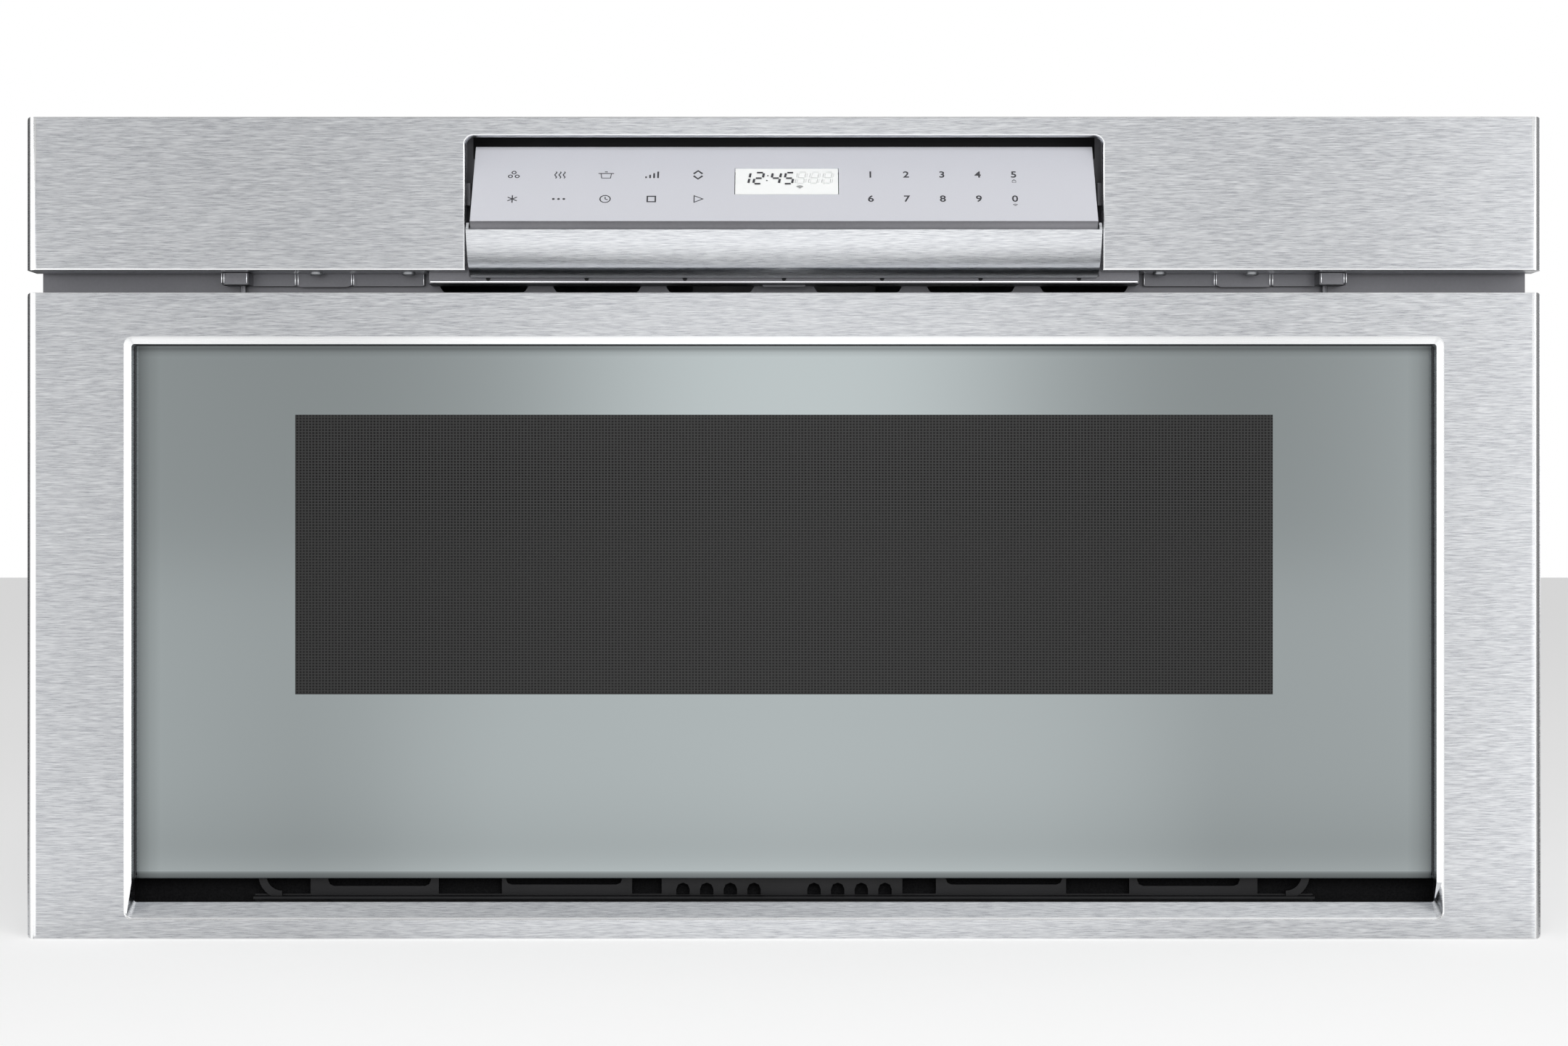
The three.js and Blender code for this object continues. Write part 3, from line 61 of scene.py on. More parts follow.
# ---------------------------------------------------------------- camera
# A product camera on a tripod 1.86 m in front of the fascia, level, at half the height of the
# whole front, with a long lens so that the front stays square to the picture.
MM = 0.001
FRONT_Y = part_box("fascia")[0].y  # the plane of the stainless front
CAMERA_DISTANCE, CAMERA_HEIGHT = 1855 * MM, 208 * MM
bpy.ops.object.camera_add(
    location=(0, FRONT_Y - CAMERA_DISTANCE, CAMERA_HEIGHT), rotation=(math.pi / 2, 0, 0))
camera = bpy.context.object
camera.data.lens = 85.10
camera.data.sensor_width = 36
camera.data.clip_end = 60
bpy.context.scene.camera = camera
bpy.context.scene.view_settings.view_transform = "Standard"


# ---------------------------------------------------------------- studio
# A white room with a pale floor, an overhead softbox and a wide front fill. Metal and glass see
# walls that glow by bearing: grey panels beside the camera, bright ones at the sides, dark flags
# near the object's plane, and a ceiling that is brightest high in front.
class Signal:
    """A number in a shader. Arithmetic on it adds Math nodes to the same tree."""

    def __init__(self, socket):
        self.socket = socket

    def _math(self, operation, *terms):
        node = self.socket.id_data.nodes.new("ShaderNodeMath")
        node.operation = operation
        for entry, term in zip(node.inputs, terms):
            if isinstance(term, Signal):
                node.id_data.links.new(term.socket, entry)
            else:
                entry.default_value = term
        return Signal(node.outputs[0])

    def __add__(self, other):
        return self._math("ADD", self, other)

    def __sub__(self, other):
        return self._math("SUBTRACT", self, other)

    def __mul__(self, other):
        return self._math("MULTIPLY", self, other)

    def __rsub__(self, other):
        return self._math("SUBTRACT", other, self)

    def __truediv__(self, other):
        return self._math("DIVIDE", self, other)

    def __gt__(self, other):
        return self._math("GREATER_THAN", self, other)

    def __lt__(self, other):
        return self._math("LESS_THAN", self, other)

    __radd__, __rmul__ = __add__, __mul__

    def output(self, name):
        """Another output of the node that this number comes from."""
        return Signal(self.socket.node.outputs[name])


class Recipe:
    """The node tree of one finish, or of the studio's walls."""

    def __init__(self, owner):
        owner.use_nodes = True
        self.tree = owner.node_tree
        self.tree.nodes.clear()

    def add(self, kind, settings=None, inputs=None):
        """One node: its settings first, then its sockets by name or number. Gives its output."""
        node = self.tree.nodes.new(kind)
        for name, value in (settings or {}).items():
            if name == "stops":
                set_stops(node.color_ramp, value)
            else:
                setattr(node, name, value)
        for name, value in (inputs or {}).items():
            if isinstance(name, int):
                entry = node.inputs[name]
            else:
                entry = next(s for s in node.inputs if s.enabled and s.name == name)
            if isinstance(value, Signal):
                self.tree.links.new(value.socket, entry)
            else:
                entry.default_value = value
        shown = [s for s in node.outputs if s.enabled]
        return Signal(shown[0]) if shown else None


def set_stops(ramp, stops):
    """Puts a ramp's stops at their places. A stop's value is a grey level or a colour."""
    while len(ramp.elements) < len(stops):
        ramp.elements.new(1)
    for element, (place, value) in zip(ramp.elements, stops):
        element.position = place
        element.color = value if isinstance(value, tuple) else (value, value, value, 1)


def round_the_room(degrees):
    """A compass bearing as a place on a wall ramp: 0 is behind the camera, + is to its right."""
    return (degrees + 180) / 360


WALL_STRENGTH = 2.5
WALL_GLOW = [  # bearing in degrees, share of the strength
    (-180, 0.25), (-135, 0.08), (-115, 0.03), (-90, 0.04), (-82, 0.14), (-72, 0.36), (-65, 0.92),
    (-46, 0.90), (-20, 0.74), (-15, 0.37), (-11, 0.275), (-7, 0.235), (-4.5, 0.28), (-3.1, 0.41),
    (-1.9, 0.56), (1.9, 0.57), (2.9, 0.485), (4.3, 0.33), (5.6, 0.26), (7.5, 0.225), (10, 0.32),
    (12.5, 0.56), (15.5, 0.94), (46, 0.95), (51, 0.90), (57, 0.15), (90, 0.10), (104, 0.22),
    (118, 0.45), (140, 0.80), (180, 0.90),
]
CEILING_STRENGTH = 1.6
CEILING_GLOW = [  # bearing in degrees, share of the strength
    (-180, 0.60), (-50, 0.68), (-16, 0.62), (-5, 0.66), (0, 0.76), (7, 0.80), (14, 0.92),
    (50, 1.0), (80, 0.70), (180, 0.60),
]
DIFFUSE_LOSS_AT_WALLS, DIFFUSE_LOSS_OVERHEAD = 0.3, 0.45
studio = bpy.context.scene.world or bpy.data.worlds.new("studio")
bpy.context.scene.world = studio
walls = Recipe(studio)
direction = walls.add("ShaderNodeSeparateXYZ", inputs={
    "Vector": walls.add("ShaderNodeTexCoord")})
bearing = walls.add("ShaderNodeMath", {"operation": "ARCTAN2"},
                    {0: direction, 1: direction.output("Y") * -1})
turn = bearing / (2 * math.pi) + 0.5
around, slant = (
    walls.add("ShaderNodeValToRGB", {"stops": [(round_the_room(d), g) for d, g in glows]},
              {"Fac": turn})
    for glows in (WALL_GLOW, CEILING_GLOW))
rise = direction.output("Z")
above = walls.add("ShaderNodeValToRGB", {
    "stops": [(0.0, 0.0), (0.17, 0.0), (0.32, 1.0), (1.0, 1.0)]}, {"Fac": rise})
ceiling = walls.add("ShaderNodeValToRGB", {"stops": [
    (0.0, 0.30), (0.55, 0.30), (0.80, 0.78), (0.93, 0.80), (1.0, 0.58)]}, {"Fac": rise})
glow = walls.add("ShaderNodeMix", {"data_type": "FLOAT"}, {
    "Factor": above, "A": around * WALL_STRENGTH, "B": ceiling * slant * CEILING_STRENGTH})
paths = walls.add("ShaderNodeLightPath")
loss = above * DIFFUSE_LOSS_OVERHEAD + DIFFUSE_LOSS_AT_WALLS
glow = glow - glow * paths.output("Is Diffuse Ray") * loss
seen = walls.add("ShaderNodeMath", {"operation": "MAXIMUM"},
                 {0: paths, 1: paths.output("Is Transmission Ray")})
glow = walls.add("ShaderNodeMix", {"data_type": "FLOAT"}, {"Factor": seen, "A": glow, "B": 1.0})
walls.add("ShaderNodeOutputWorld", inputs={
    "Surface": walls.add("ShaderNodeBackground", inputs={"Color": (1, 1, 1, 1), "Strength": glow})})

for name, place, aim, size, watts in (
    ("overhead_softbox", (0, -0.6, 3.2), (0, -0.3, 0), (4.4, 3.4), 9),
    ("front_fill", (0.3, -3.3, 0.9), (0, -0.3, 0.3), (2.4, 1.1), 76),
):
    bpy.ops.object.light_add(type="AREA", location=place)
    lamp = bpy.context.object
    lamp.name = name
    lamp.rotation_euler = (Vector(aim) - Vector(place)).to_track_quat("-Z", "Y").to_euler()
    lamp.data.shape = "RECTANGLE"
    lamp.data.size, lamp.data.size_y = size
    lamp.data.energy = watts
    lamp.visible_glossy = False


def select_only(*objects):
    """Selects these objects and nothing else; the last one becomes active."""
    bpy.ops.object.select_all(action="DESELECT")
    for thing in objects:
        thing.select_set(True)
    bpy.context.view_layer.objects.active = objects[-1]


def paint(red, green, blue):
    """A colour as it is seen in the photograph, 0 to 255 a channel, as the shader's own value."""
    levels = [level / 255 for level in (red, green, blue)]
    return tuple(v / 12.92 if v <= 0.04045 else ((v + 0.055) / 1.055) ** 2.4 for v in levels) + (1,)


select_only(camera)
bpy.ops.mesh.primitive_plane_add(size=24, location=(0, 0, -0.5 * MM))
floor = bpy.context.object
floor.name = "studio_floor"
floor_paint = bpy.data.materials.new("studio_floor_paint")
floor.data.materials.append(floor_paint)
mix = Recipe(floor_paint)
paths = mix.add("ShaderNodeLightPath")
spot = mix.add("ShaderNodeSeparateXYZ", inputs={
    "Vector": mix.add("ShaderNodeTexCoord").output("Object")})
EYE_AHEAD = 1.88  # metres in front of the fascia, where the floor's tones are laid out from
FLAG_CENTRE = 0.35  # metres behind the fascia's plane
FLOOR_GLOW, FLOOR_IN_METAL = 0.5, 2  # to the camera, and to metal and glass
ahead = FRONT_Y - spot.output("Y")  # metres in front of the fascia
aside = spot / (ahead + EYE_AHEAD)  # tangent of the bearing under which the front sees the spot
# To metal and glass the floor glows with painted light: a painted pool of light ahead of the front,
# bands across it and painted dark flags beside the object.
painted_light_pool = mix.add("ShaderNodeValToRGB", {"stops": [
    (0.0, 0.44), (0.07, 0.54), (0.12, 0.66), (0.18, 0.73), (0.24, 0.70), (0.30, 0.61), (0.36, 0.54),
    (0.42, 0.49), (0.60, 0.54), (1.0, 0.58)]}, {"Fac": ahead})
painted_glow_across = mix.add("ShaderNodeValToRGB", {"stops": [
    (0.0, 0.92), (0.12, 0.90), (0.24, 0.74), (0.28, 0.69), (0.31, 0.75), (0.33, 0.83), (0.37, 0.94),
    (0.5, 0.99), (0.62, 0.93), (0.66, 0.85), (0.70, 0.72), (0.79, 0.75), (0.87, 0.95), (1.0, 0.98),
]}, {"Fac": aside * 1.7 + 0.5})
round_about = mix.add(
    "ShaderNodeMath", {"operation": "ARCTAN2"}, {0: spot, 1: ahead + FLAG_CENTRE})
painted_dark_flags = mix.add("ShaderNodeValToRGB", {"stops": [
    (0.0, 0.20), (0.18, 0.05), (0.27, 0.10), (0.33, 1.0), (0.62, 1.0), (0.66, 0.08), (0.78, 0.14),
    (1.0, 0.9)]}, {"Fac": round_about / (2 * math.pi) + 0.5})
seen_in_metal = mix.add("ShaderNodeEmission", inputs={
    "Color": (1, 1, 1, 1), "Strength": painted_light_pool * painted_glow_across * painted_dark_flags * FLOOR_IN_METAL})
seen = mix.add("ShaderNodeAddShader", inputs={
    0: mix.add("ShaderNodeBsdfDiffuse", inputs={"Color": (0.80, 0.80, 0.80, 1)}),
    1: mix.add("ShaderNodeEmission", inputs={
        "Color": (1, 1, 1, 1), "Strength": paths * FLOOR_GLOW})})
mix.add("ShaderNodeOutputMaterial", inputs={"Surface": mix.add("ShaderNodeMixShader", inputs={
    0: paths.output("Is Glossy Ray"), 1: seen, 2: seen_in_metal})})


# ---------------------------------------------------------------- cabinet
# The box that stays in the kitchen cabinet: a folded wrap, a base on three pressed runners and a
# louvred rear panel, spot-welded from unpainted zinc-coated steel that shows its soft spangle.
def new_finish(name):
    """A new material, its empty recipe, and the place on the piece that its patterns follow."""
    material = bpy.data.materials.new(name)
    mix = Recipe(material)
    return material, mix, mix.add("ShaderNodeTexCoord").output("Object")


def noise(mix, place, scale, detail):
    """A soft pattern from 0 to 1."""
    return mix.add("ShaderNodeTexNoise", inputs={
        "Vector": place, "Scale": scale, "Detail": detail})


def bump(mix, strength, distance, height):
    """The slope that a pattern of heights gives the surface, its distance in millimetres."""
    return mix.add("ShaderNodeBump", inputs={
        "Strength": strength, "Distance": distance * MM, "Height": height})


def shade(mix, constants, signals):
    """Ends a recipe: one shader, constants on its own sockets and the rest linked."""
    mix.add("ShaderNodeOutputMaterial", inputs={
        "Surface": mix.add("ShaderNodeBsdfPrincipled", inputs={**constants, **signals})})


def blend(mix, factor, low, high):
    """Two colours mixed by a number from 0 to 1."""
    return mix.add("ShaderNodeMix", {"data_type": "RGBA"}, {"Factor": factor, "A": low, "B": high})


def coat(piece, finish):
    """Gives a piece its material; the slot name that comes with the finish is not used."""
    material, slot_name = finish
    piece.data.materials.clear()
    piece.data.materials.append(material)


def pick_edges(piece, wanted):
    """Goes into edit mode with only those edges selected for which wanted(edge) is true."""
    select_only(piece)
    bpy.ops.object.mode_set(mode="EDIT")
    bpy.ops.mesh.select_mode(type="EDGE")
    bpy.ops.mesh.select_all(action="DESELECT")
    bpy.ops.object.mode_set(mode="OBJECT")
    for edge in piece.data.edges:
        edge.select = wanted(edge)
    bpy.ops.object.mode_set(mode="EDIT")


def ease_front(piece, radius, foot_radius):
    """Rounds the edges in the plane of the fascia, with a radius of its own for the foot."""
    mesh = piece.data
    foot = min(v.co.z for v in mesh.vertices) + 1 * MM
    for size, at_foot in ((foot_radius, True), (radius, False)):
        corners = {v.index: v.co.z < foot for v in mesh.vertices if v.co.y < FRONT_Y + 0.02 * MM}
        flat = [set(p.edge_keys) for p in mesh.polygons if abs(p.normal.y) > 0.999]

        def outlines(edge):
            """True for the edges round the flat front, at the foot or above it."""
            ends = [corners.get(index) for index in edge.vertices]
            inside = sum(edge.key in keys for keys in flat) > 1
            return None not in ends and all(ends) == at_foot and not inside

        pick_edges(piece, outlines)
        bpy.ops.mesh.bevel(offset=size, segments=3, affect="EDGES")
        bpy.ops.object.mode_set(mode="OBJECT")


CREASE = math.radians(32)  # a bend sharper than this is an edge


def press(node, edge, finish, front=None):
    """A CAD piece as it leaves the press or the mould: its shape, with eased edges and smooth
    bends. The edges that lie in the plane of the fascia can have larger radii of their own."""
    rough = frame["nodes"][node]
    piece = bpy.data.objects.new(node + "_made", rough.data.copy())
    bpy.context.scene.collection.objects.link(piece)
    select_only(piece)
    bpy.ops.mesh.customdata_custom_splitnormals_clear()
    bpy.ops.object.mode_set(mode="EDIT")
    bpy.ops.mesh.select_all(action="SELECT")
    bpy.ops.mesh.remove_doubles(threshold=0.002 * MM)
    bpy.ops.mesh.dissolve_limited(angle_limit=math.radians(0.6))
    bpy.ops.mesh.select_all(action="DESELECT")
    bpy.ops.object.mode_set(mode="OBJECT")
    if front:
        ease_front(piece, *front)
    rounding = piece.modifiers.new("rounding", "BEVEL")
    rounding.width, rounding.segments = edge, 2
    rounding.limit_method, rounding.angle_limit = "ANGLE", CREASE
    bpy.ops.object.modifier_apply(modifier=rounding.name)
    bpy.ops.object.shade_smooth_by_angle(angle=CREASE)
    piece.modifiers.new("flats", "WEIGHTED_NORMAL").keep_sharp = True
    bpy.ops.object.modifier_apply(modifier="flats")
    coat(piece, finish)
    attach(piece, rough["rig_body"])
    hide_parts(node)


zinc, mix, place = new_finish("galvanised_sheet")
warp = noise(mix, place, 90, 2)
bent = mix.add("ShaderNodeVectorMath", {"operation": "MULTIPLY_ADD"}, {
    0: warp.output("Color"), 1: (0.006, 0.006, 0.006), 2: place})
crystal = mix.add("ShaderNodeTexVoronoi", {"feature": "F1"}, {"Vector": bent, "Scale": 140})
tone = mix.add("ShaderNodeSeparateColor", inputs={"Color": crystal.output("Color")})
grain = noise(mix, place, 900, 3)
shade(mix, {"Metallic": 0.85}, {
    "Base Color": blend(
        mix, tone * 0.75 + grain * 0.25, paint(178, 180, 183), paint(205, 207, 210)),
    "Roughness": tone * 0.12 + grain * 0.10 + 0.34,
    "Normal": bump(mix, 0.12, 0.4, grain + tone * 0.5)})
GALVANISED = (zinc, "zinc_steel")

plastic, mix, place = new_finish("black_moulding")
grain = noise(mix, place, 1400, 2)
cloud = noise(mix, place, 60, 2)
shade(mix, {"Specular IOR Level": 0.3}, {
    "Base Color": blend(mix, cloud, paint(17, 17, 19), paint(28, 28, 30)),
    "Roughness": grain * 0.2 + 0.42,
    "Normal": bump(mix, 0.25, 0.1, grain)})
BLACK_MOULDING = (plastic, "black_plastic")

for node, edge in (("cabinet_wrap", 0.3), ("base_pan", 0.25), ("rear_panel", 0.2)):
    press(node, edge * MM, GALVANISED)
press("cord_gland", 0.4 * MM, BLACK_MOULDING)

# ---------------------------------------------------------------- slides and drive
# Rolled steel telescopic slides on upright brackets. Moulded acetal racks run on a cross shaft
# with acetal pinions, which a gear motor turns through one more pair of wheels.
for side in ("right", "left"):
    press("rail_bracket_" + side, 0.3 * MM, GALVANISED)
    for rail in ("outer_rail_", "mid_rail_", "inner_rail_"):
        press(rail + side, 0.25 * MM, GALVANISED)

acetal, mix, place = new_finish("white_acetal_moulding")
flow = noise(mix, place, 70, 3)
shade(mix, {"Specular IOR Level": 0.45}, {
    "Base Color": blend(mix, flow, paint(216, 214, 206), paint(233, 231, 224)),
    "Roughness": flow * 0.15 + 0.35})
ACETAL = (acetal, "white_acetal")

alloy, mix, place = new_finish("aluminium")
grain = noise(mix, place, 1100, 3)
cloud = noise(mix, place, 40, 2)
shade(mix, {"Metallic": 1.0}, {
    "Base Color": blend(mix, grain * 0.6 + cloud * 0.4, paint(170, 172, 175), paint(202, 204, 207)),
    "Roughness": grain * 0.14 + 0.32,
    "Normal": bump(mix, 0.1, 0.1, grain)})
ALUMINIUM = (alloy, "aluminium")

plated, mix, place = new_finish("grey_plated_steel")
grain = noise(mix, place, 700, 3)
cloud = noise(mix, place, 25, 3)
shade(mix, {"Metallic": 0.8}, {
    "Base Color": blend(mix, grain * 0.5 + cloud * 0.5, paint(104, 104, 108), paint(132, 132, 136)),
    "Roughness": grain * 0.16 + 0.32,
    "Normal": bump(mix, 0.1, 0.1, grain)})
GREY_STEEL = (plated, "grey_steel")

painted, mix, place = new_finish("black_painted_steel")
peel = noise(mix, place, 900, 2)
cloud = noise(mix, place, 40, 2)
shade(mix, {"Specular IOR Level": 0.3}, {
    "Base Color": blend(mix, cloud, paint(17, 17, 18), paint(30, 30, 32)),
    "Roughness": peel * 0.2 + 0.36,
    "Normal": bump(mix, 0.15, 0.1, peel)})
BLACK_PAINT = (painted, "black_steel")

for node in ("rack_right", "rack_left", "pinion_right", "pinion_left", "drive_wheel"):
    press(node, 0.15 * MM, ACETAL)
for node in ("drive_shaft", "motor_pinion"):
    press(node, 0.15 * MM, ALUMINIUM)
for node in ("shaft_bush_right", "shaft_bush_left"):
    press(node, 0.2 * MM, BLACK_MOULDING)
press("gear_motor", 0.5 * MM, GREY_STEEL)

# ---------------------------------------------------------------- microwave system
# The cavity is a welded steel shell in grey speckled enamel; above and behind it sit the
# aluminium waveguide, the magnetron and its supply, the stirrer and the cooling fan with its duct.
enamel, mix, place = new_finish("grey_speckled_enamel")
flecks = mix.add("ShaderNodeTexVoronoi", {"feature": "F1"}, {"Vector": place, "Scale": 520})
pick = mix.add("ShaderNodeSeparateColor", inputs={"Color": flecks.output("Color")})
fleck = (flecks < 0.32) * (pick > 0.62)
cloud = noise(mix, place, 12, 2)
ground = blend(mix, cloud, paint(142, 143, 145), paint(156, 157, 159))
shade(mix, {"Specular IOR Level": 0.5}, {
    "Base Color": blend(mix, fleck * 0.55, ground, paint(92, 93, 96)),
    "Roughness": cloud * 0.1 + 0.25,
    "Normal": bump(mix, 0.15, 0.1, fleck)})
ENAMEL = (enamel, "oven_enamel")

glassy, mix, place = new_finish("white_glass_ceramic")
cloud = noise(mix, place, 30, 4)
shade(mix, {"Coat Roughness": 0.05}, {
    "Base Color": blend(mix, cloud, paint(205, 204, 198), paint(222, 221, 216)),
    "Roughness": cloud * 0.1 + 0.2})
CERAMIC = (glassy, "white_ceramic")

winding, mix, place = new_finish("copper_winding")
wires = mix.add("ShaderNodeTexWave", {"bands_direction": "Z"}, {
    "Vector": place, "Scale": 190, "Distortion": 0.4, "Detail": 1})
shade(mix, {"Metallic": 0.8}, {
    "Base Color": blend(mix, wires, paint(112, 56, 28), paint(186, 104, 60)),
    "Roughness": wires * 0.1 + 0.3,
    "Normal": bump(mix, 0.5, 0.3, wires)})
COPPER = (winding, "copper_winding")

board, mix, place = new_finish("circuit_board")
tracks = mix.add("ShaderNodeTexBrick", {"offset": 0.5}, {
    "Vector": place, "Scale": 90, "Mortar Size": 0.03,
    "Color1": paint(24, 78, 48), "Color2": paint(30, 96, 60), "Mortar": paint(70, 138, 88)})
shade(mix, {"Specular IOR Level": 0.5, "Roughness": 0.35}, {"Base Color": tracks})
BOARD = (board, "circuit_board")

press("cavity_shell", 0.4 * MM, ENAMEL)
for node in ("stirrer_cover", "cavity_lamp"):
    press(node, 0.3 * MM, CERAMIC)
for node in ("waveguide", "stirrer", "magnetron", "hv_capacitor"):
    press(node, 0.3 * MM, ALUMINIUM)
for node in ("stirrer_motor", "fan_motor"):
    press(node, 0.4 * MM, GREY_STEEL)
for node in ("fan_shroud", "air_duct", "exhaust_hood"):
    press(node, 0.3 * MM, GALVANISED)
for node in ("fan_wheel", "interlock_switch_right", "interlock_switch_left"):
    press(node, 0.2 * MM, BLACK_MOULDING)
press("hv_transformer", 0.4 * MM, COPPER)
press("power_board", 0.2 * MM, BOARD)

# ---------------------------------------------------------------- face plate and its brackets
# The plate that closes the cabinet round the drawer, and the pressed brackets in the gap under
# the fascia: grey plated steel with bright sheared edges, held by cross-recessed screws. Black
# strips across the plate at the drawer's foot and at the notch are painted shade for the dark slot
# and notch.
press("face_plate", 0.2 * MM, GREY_STEEL)
for side in ("right", "left"):
    press("fascia_bracket_" + side, 0.25 * MM, GREY_STEEL)


def bar(name, low, high, soft, finish, body):
    """A bar with rounded edges between two corners, in mm from the fascia and the floor."""
    low, high = (Vector(corner) * MM + Vector((0, FRONT_Y, 0)) for corner in (low, high))
    select_only(camera)
    bpy.ops.mesh.primitive_cube_add(size=1, location=(low + high) / 2, scale=high - low)
    piece = bpy.context.object
    bpy.ops.object.transform_apply(location=True, rotation=True, scale=True)
    bpy.ops.object.mode_set(mode="EDIT")
    bpy.ops.mesh.select_all(action="SELECT")
    bpy.ops.mesh.bevel(offset=soft * MM, segments=2, affect="EDGES")
    bpy.ops.object.mode_set(mode="OBJECT")
    bpy.ops.object.shade_smooth_by_angle(angle=math.radians(50))
    piece.name = name
    coat(piece, finish)
    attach(piece, body)
    return piece


def join_as(name, pieces):
    """Makes one object of several that share a finish and a body."""
    select_only(*pieces)
    bpy.ops.object.join()
    bpy.context.object.name = name
    return bpy.context.object


def rivet(radius, height):
    """A low round head. It stands on the XY plane and its crown points down."""
    select_only(camera)
    bpy.ops.mesh.primitive_cylinder_add(
        vertices=28, radius=radius, depth=height, location=(0, 0, -height / 2))
    head = bpy.context.object
    bpy.ops.object.transform_apply(location=True, rotation=True, scale=True)
    points = head.data.vertices
    pick_edges(head, lambda edge: all(points[index].co.z < -height / 2 for index in edge.vertices))
    bpy.ops.mesh.bevel(offset=height * 0.6, segments=3, affect="EDGES")
    bpy.ops.object.mode_set(mode="OBJECT")
    bpy.ops.object.shade_smooth_by_angle(angle=math.radians(35))
    return head


def screw_head(radius, height):
    """The same head with a cross recess in its crown."""
    head = rivet(radius, height)
    for turn in (0, math.pi / 2):
        select_only(camera)
        bpy.ops.mesh.primitive_cube_add(
            size=1, location=(0, 0, -height), rotation=(0, 0, turn),
            scale=(radius, radius * 0.24, height))
        cutter = bpy.context.object
        recess = head.modifiers.new("recess", "BOOLEAN")
        recess.object, recess.operation = cutter, "DIFFERENCE"
        select_only(head)
        bpy.ops.object.modifier_apply(modifier=recess.name)
        select_only(cutter)
        bpy.ops.object.delete()
    return head


def set_heads(name, head, faces_front, spots, finish, body):
    """Copies of one head at their places, crown down or crown to the front, as one piece."""
    if faces_front:
        head.data.transform(Matrix.Rotation(-math.pi / 2, 4, "X"))
    copies = []
    for spot in spots:
        select_only(head)
        bpy.ops.object.duplicate()
        copy = bpy.context.object
        copy.data.transform(Matrix.Translation(Vector(spot) * MM + Vector((0, FRONT_Y, 0))))
        copies.append(copy)
    select_only(head)
    bpy.ops.object.delete()
    piece = join_as(name, copies)
    coat(piece, finish)
    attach(piece, body)


sheared, mix, place = new_finish("sheared_sheet_edge")
grain = noise(mix, place, 800, 2)
shade(mix, {"Metallic": 1.0}, {
    "Base Color": blend(mix, grain, paint(240, 241, 243), paint(252, 252, 254)),
    "Roughness": grain * 0.1 + 0.12})
BRIGHT_EDGE = (sheared, "zinc_steel")

foam, mix, place = new_finish("black_foam_painted_shade")
cells = mix.add("ShaderNodeTexVoronoi", {"feature": "F1"}, {"Vector": place, "Scale": 900})
shade(mix, {"Specular IOR Level": 0.1}, {
    "Base Color": blend(mix, cells, paint(12, 12, 13), paint(24, 24, 25)),
    "Roughness": cells * 0.2 + 0.75,
    "Normal": bump(mix, 0.6, 0.4, cells)})
SHADE_FOAM = (foam, "black_plastic")

# A black foam strip across the face plate's foot: painted shade for the dark slot under the glass.
bar("foot_strip_painted_shade", (-371, 30.9, 6), (371, 33, 33), 0.6, SHADE_FOAM, "cabinet")
# A black strip across the back of the notch: painted shade for the dark notch.
bar("notch_strip_painted_shade", (-158, 30.6, 393), (158, 33, 405.5), 0.6, BLACK_MOULDING, "cabinet")
set_heads("face_plate_screws", screw_head(4.2 * MM, 2.0 * MM), True,
          [(x, 33, z) for x in (-367, 367) for z in (62, 180, 298)], GALVANISED, "cabinet")
set_heads("fascia_flange_screws", screw_head(3.5 * MM, 1.4 * MM), False,
          [(x, 20, 334.5) for x in (-236.6, -189.9, 189.9, 236.6)], GALVANISED, "cabinet")
hems = [
    bar("hem", (x - 0.25, front, foot), (x + 0.25, front + 2.4, head), 0.2, BRIGHT_EDGE, "cabinet")
    for places, front, foot, head in (
        ((182.9, 218.4, 219.5, 246.6, 248.1), 26.4, 328.6, 334.2),
        ((271.2, 282.6, 283.7), 15.0, 329.0, 334.0))
    for x in [-place for place in places] + list(places)]
join_as("bracket_hems", hems)

# ---------------------------------------------------------------- control pod
# A steel housing behind the fascia carries a black moulding, the board and the leaning key
# glass; under the glass a folded stainless nose curls down and back. Seven small black rivets
# sit over the housing's thin shelf.
steel, mix, place = new_finish("brushed_stainless")
facing = mix.add("ShaderNodeSeparateXYZ", inputs={
    "Vector": mix.add("ShaderNodeNewGeometry").output("Normal")})
flank = mix.add("ShaderNodeMath", {"operation": "ABSOLUTE"}, {0: facing}) > 0.7


def brush(mix, place, length, width):
    """Streaks of the brush along the sheet: they run with X, and round a side bend with Y."""
    along, across = 1 / length, 1 / width
    stretch = mix.add("ShaderNodeCombineXYZ", inputs={
        "X": along, "Y": across - flank * (across - along), "Z": across})
    drawn = mix.add("ShaderNodeVectorMath", {"operation": "MULTIPLY"}, {0: place, 1: stretch})
    return noise(mix, drawn, 1, 2)


fine = brush(mix, place, 7 * MM, 0.38 * MM)
short = brush(mix, place, 20 * MM, 0.5 * MM)
long = brush(mix, place, 60 * MM, 1.0 * MM)
mottle = noise(mix, place, 22, 2)
streak = (fine * 0.77 + short * 0.15 + long * 0.08) * 2.1 - 0.55  # their contrast and level
brushed = blend(mix, streak * 0.96 + mottle * 0.04, paint(172, 174, 180), paint(251, 253, 255))
ahead = mix.add("ShaderNodeSeparateXYZ", inputs={"Vector": place}).output("Y")
square = facing.output("Y") * -1
turned = square < 0.995
painted_edge_highlight = turned * (square > 0.75) * (ahead > FRONT_Y)  # painted highlight: folds and bevels are painted brighter than the flat front
painted_edge_highlight = painted_edge_highlight + turned * (ahead.output("Z") < 1.5 * MM)  # and so is the drawer's foot, also a painted highlight
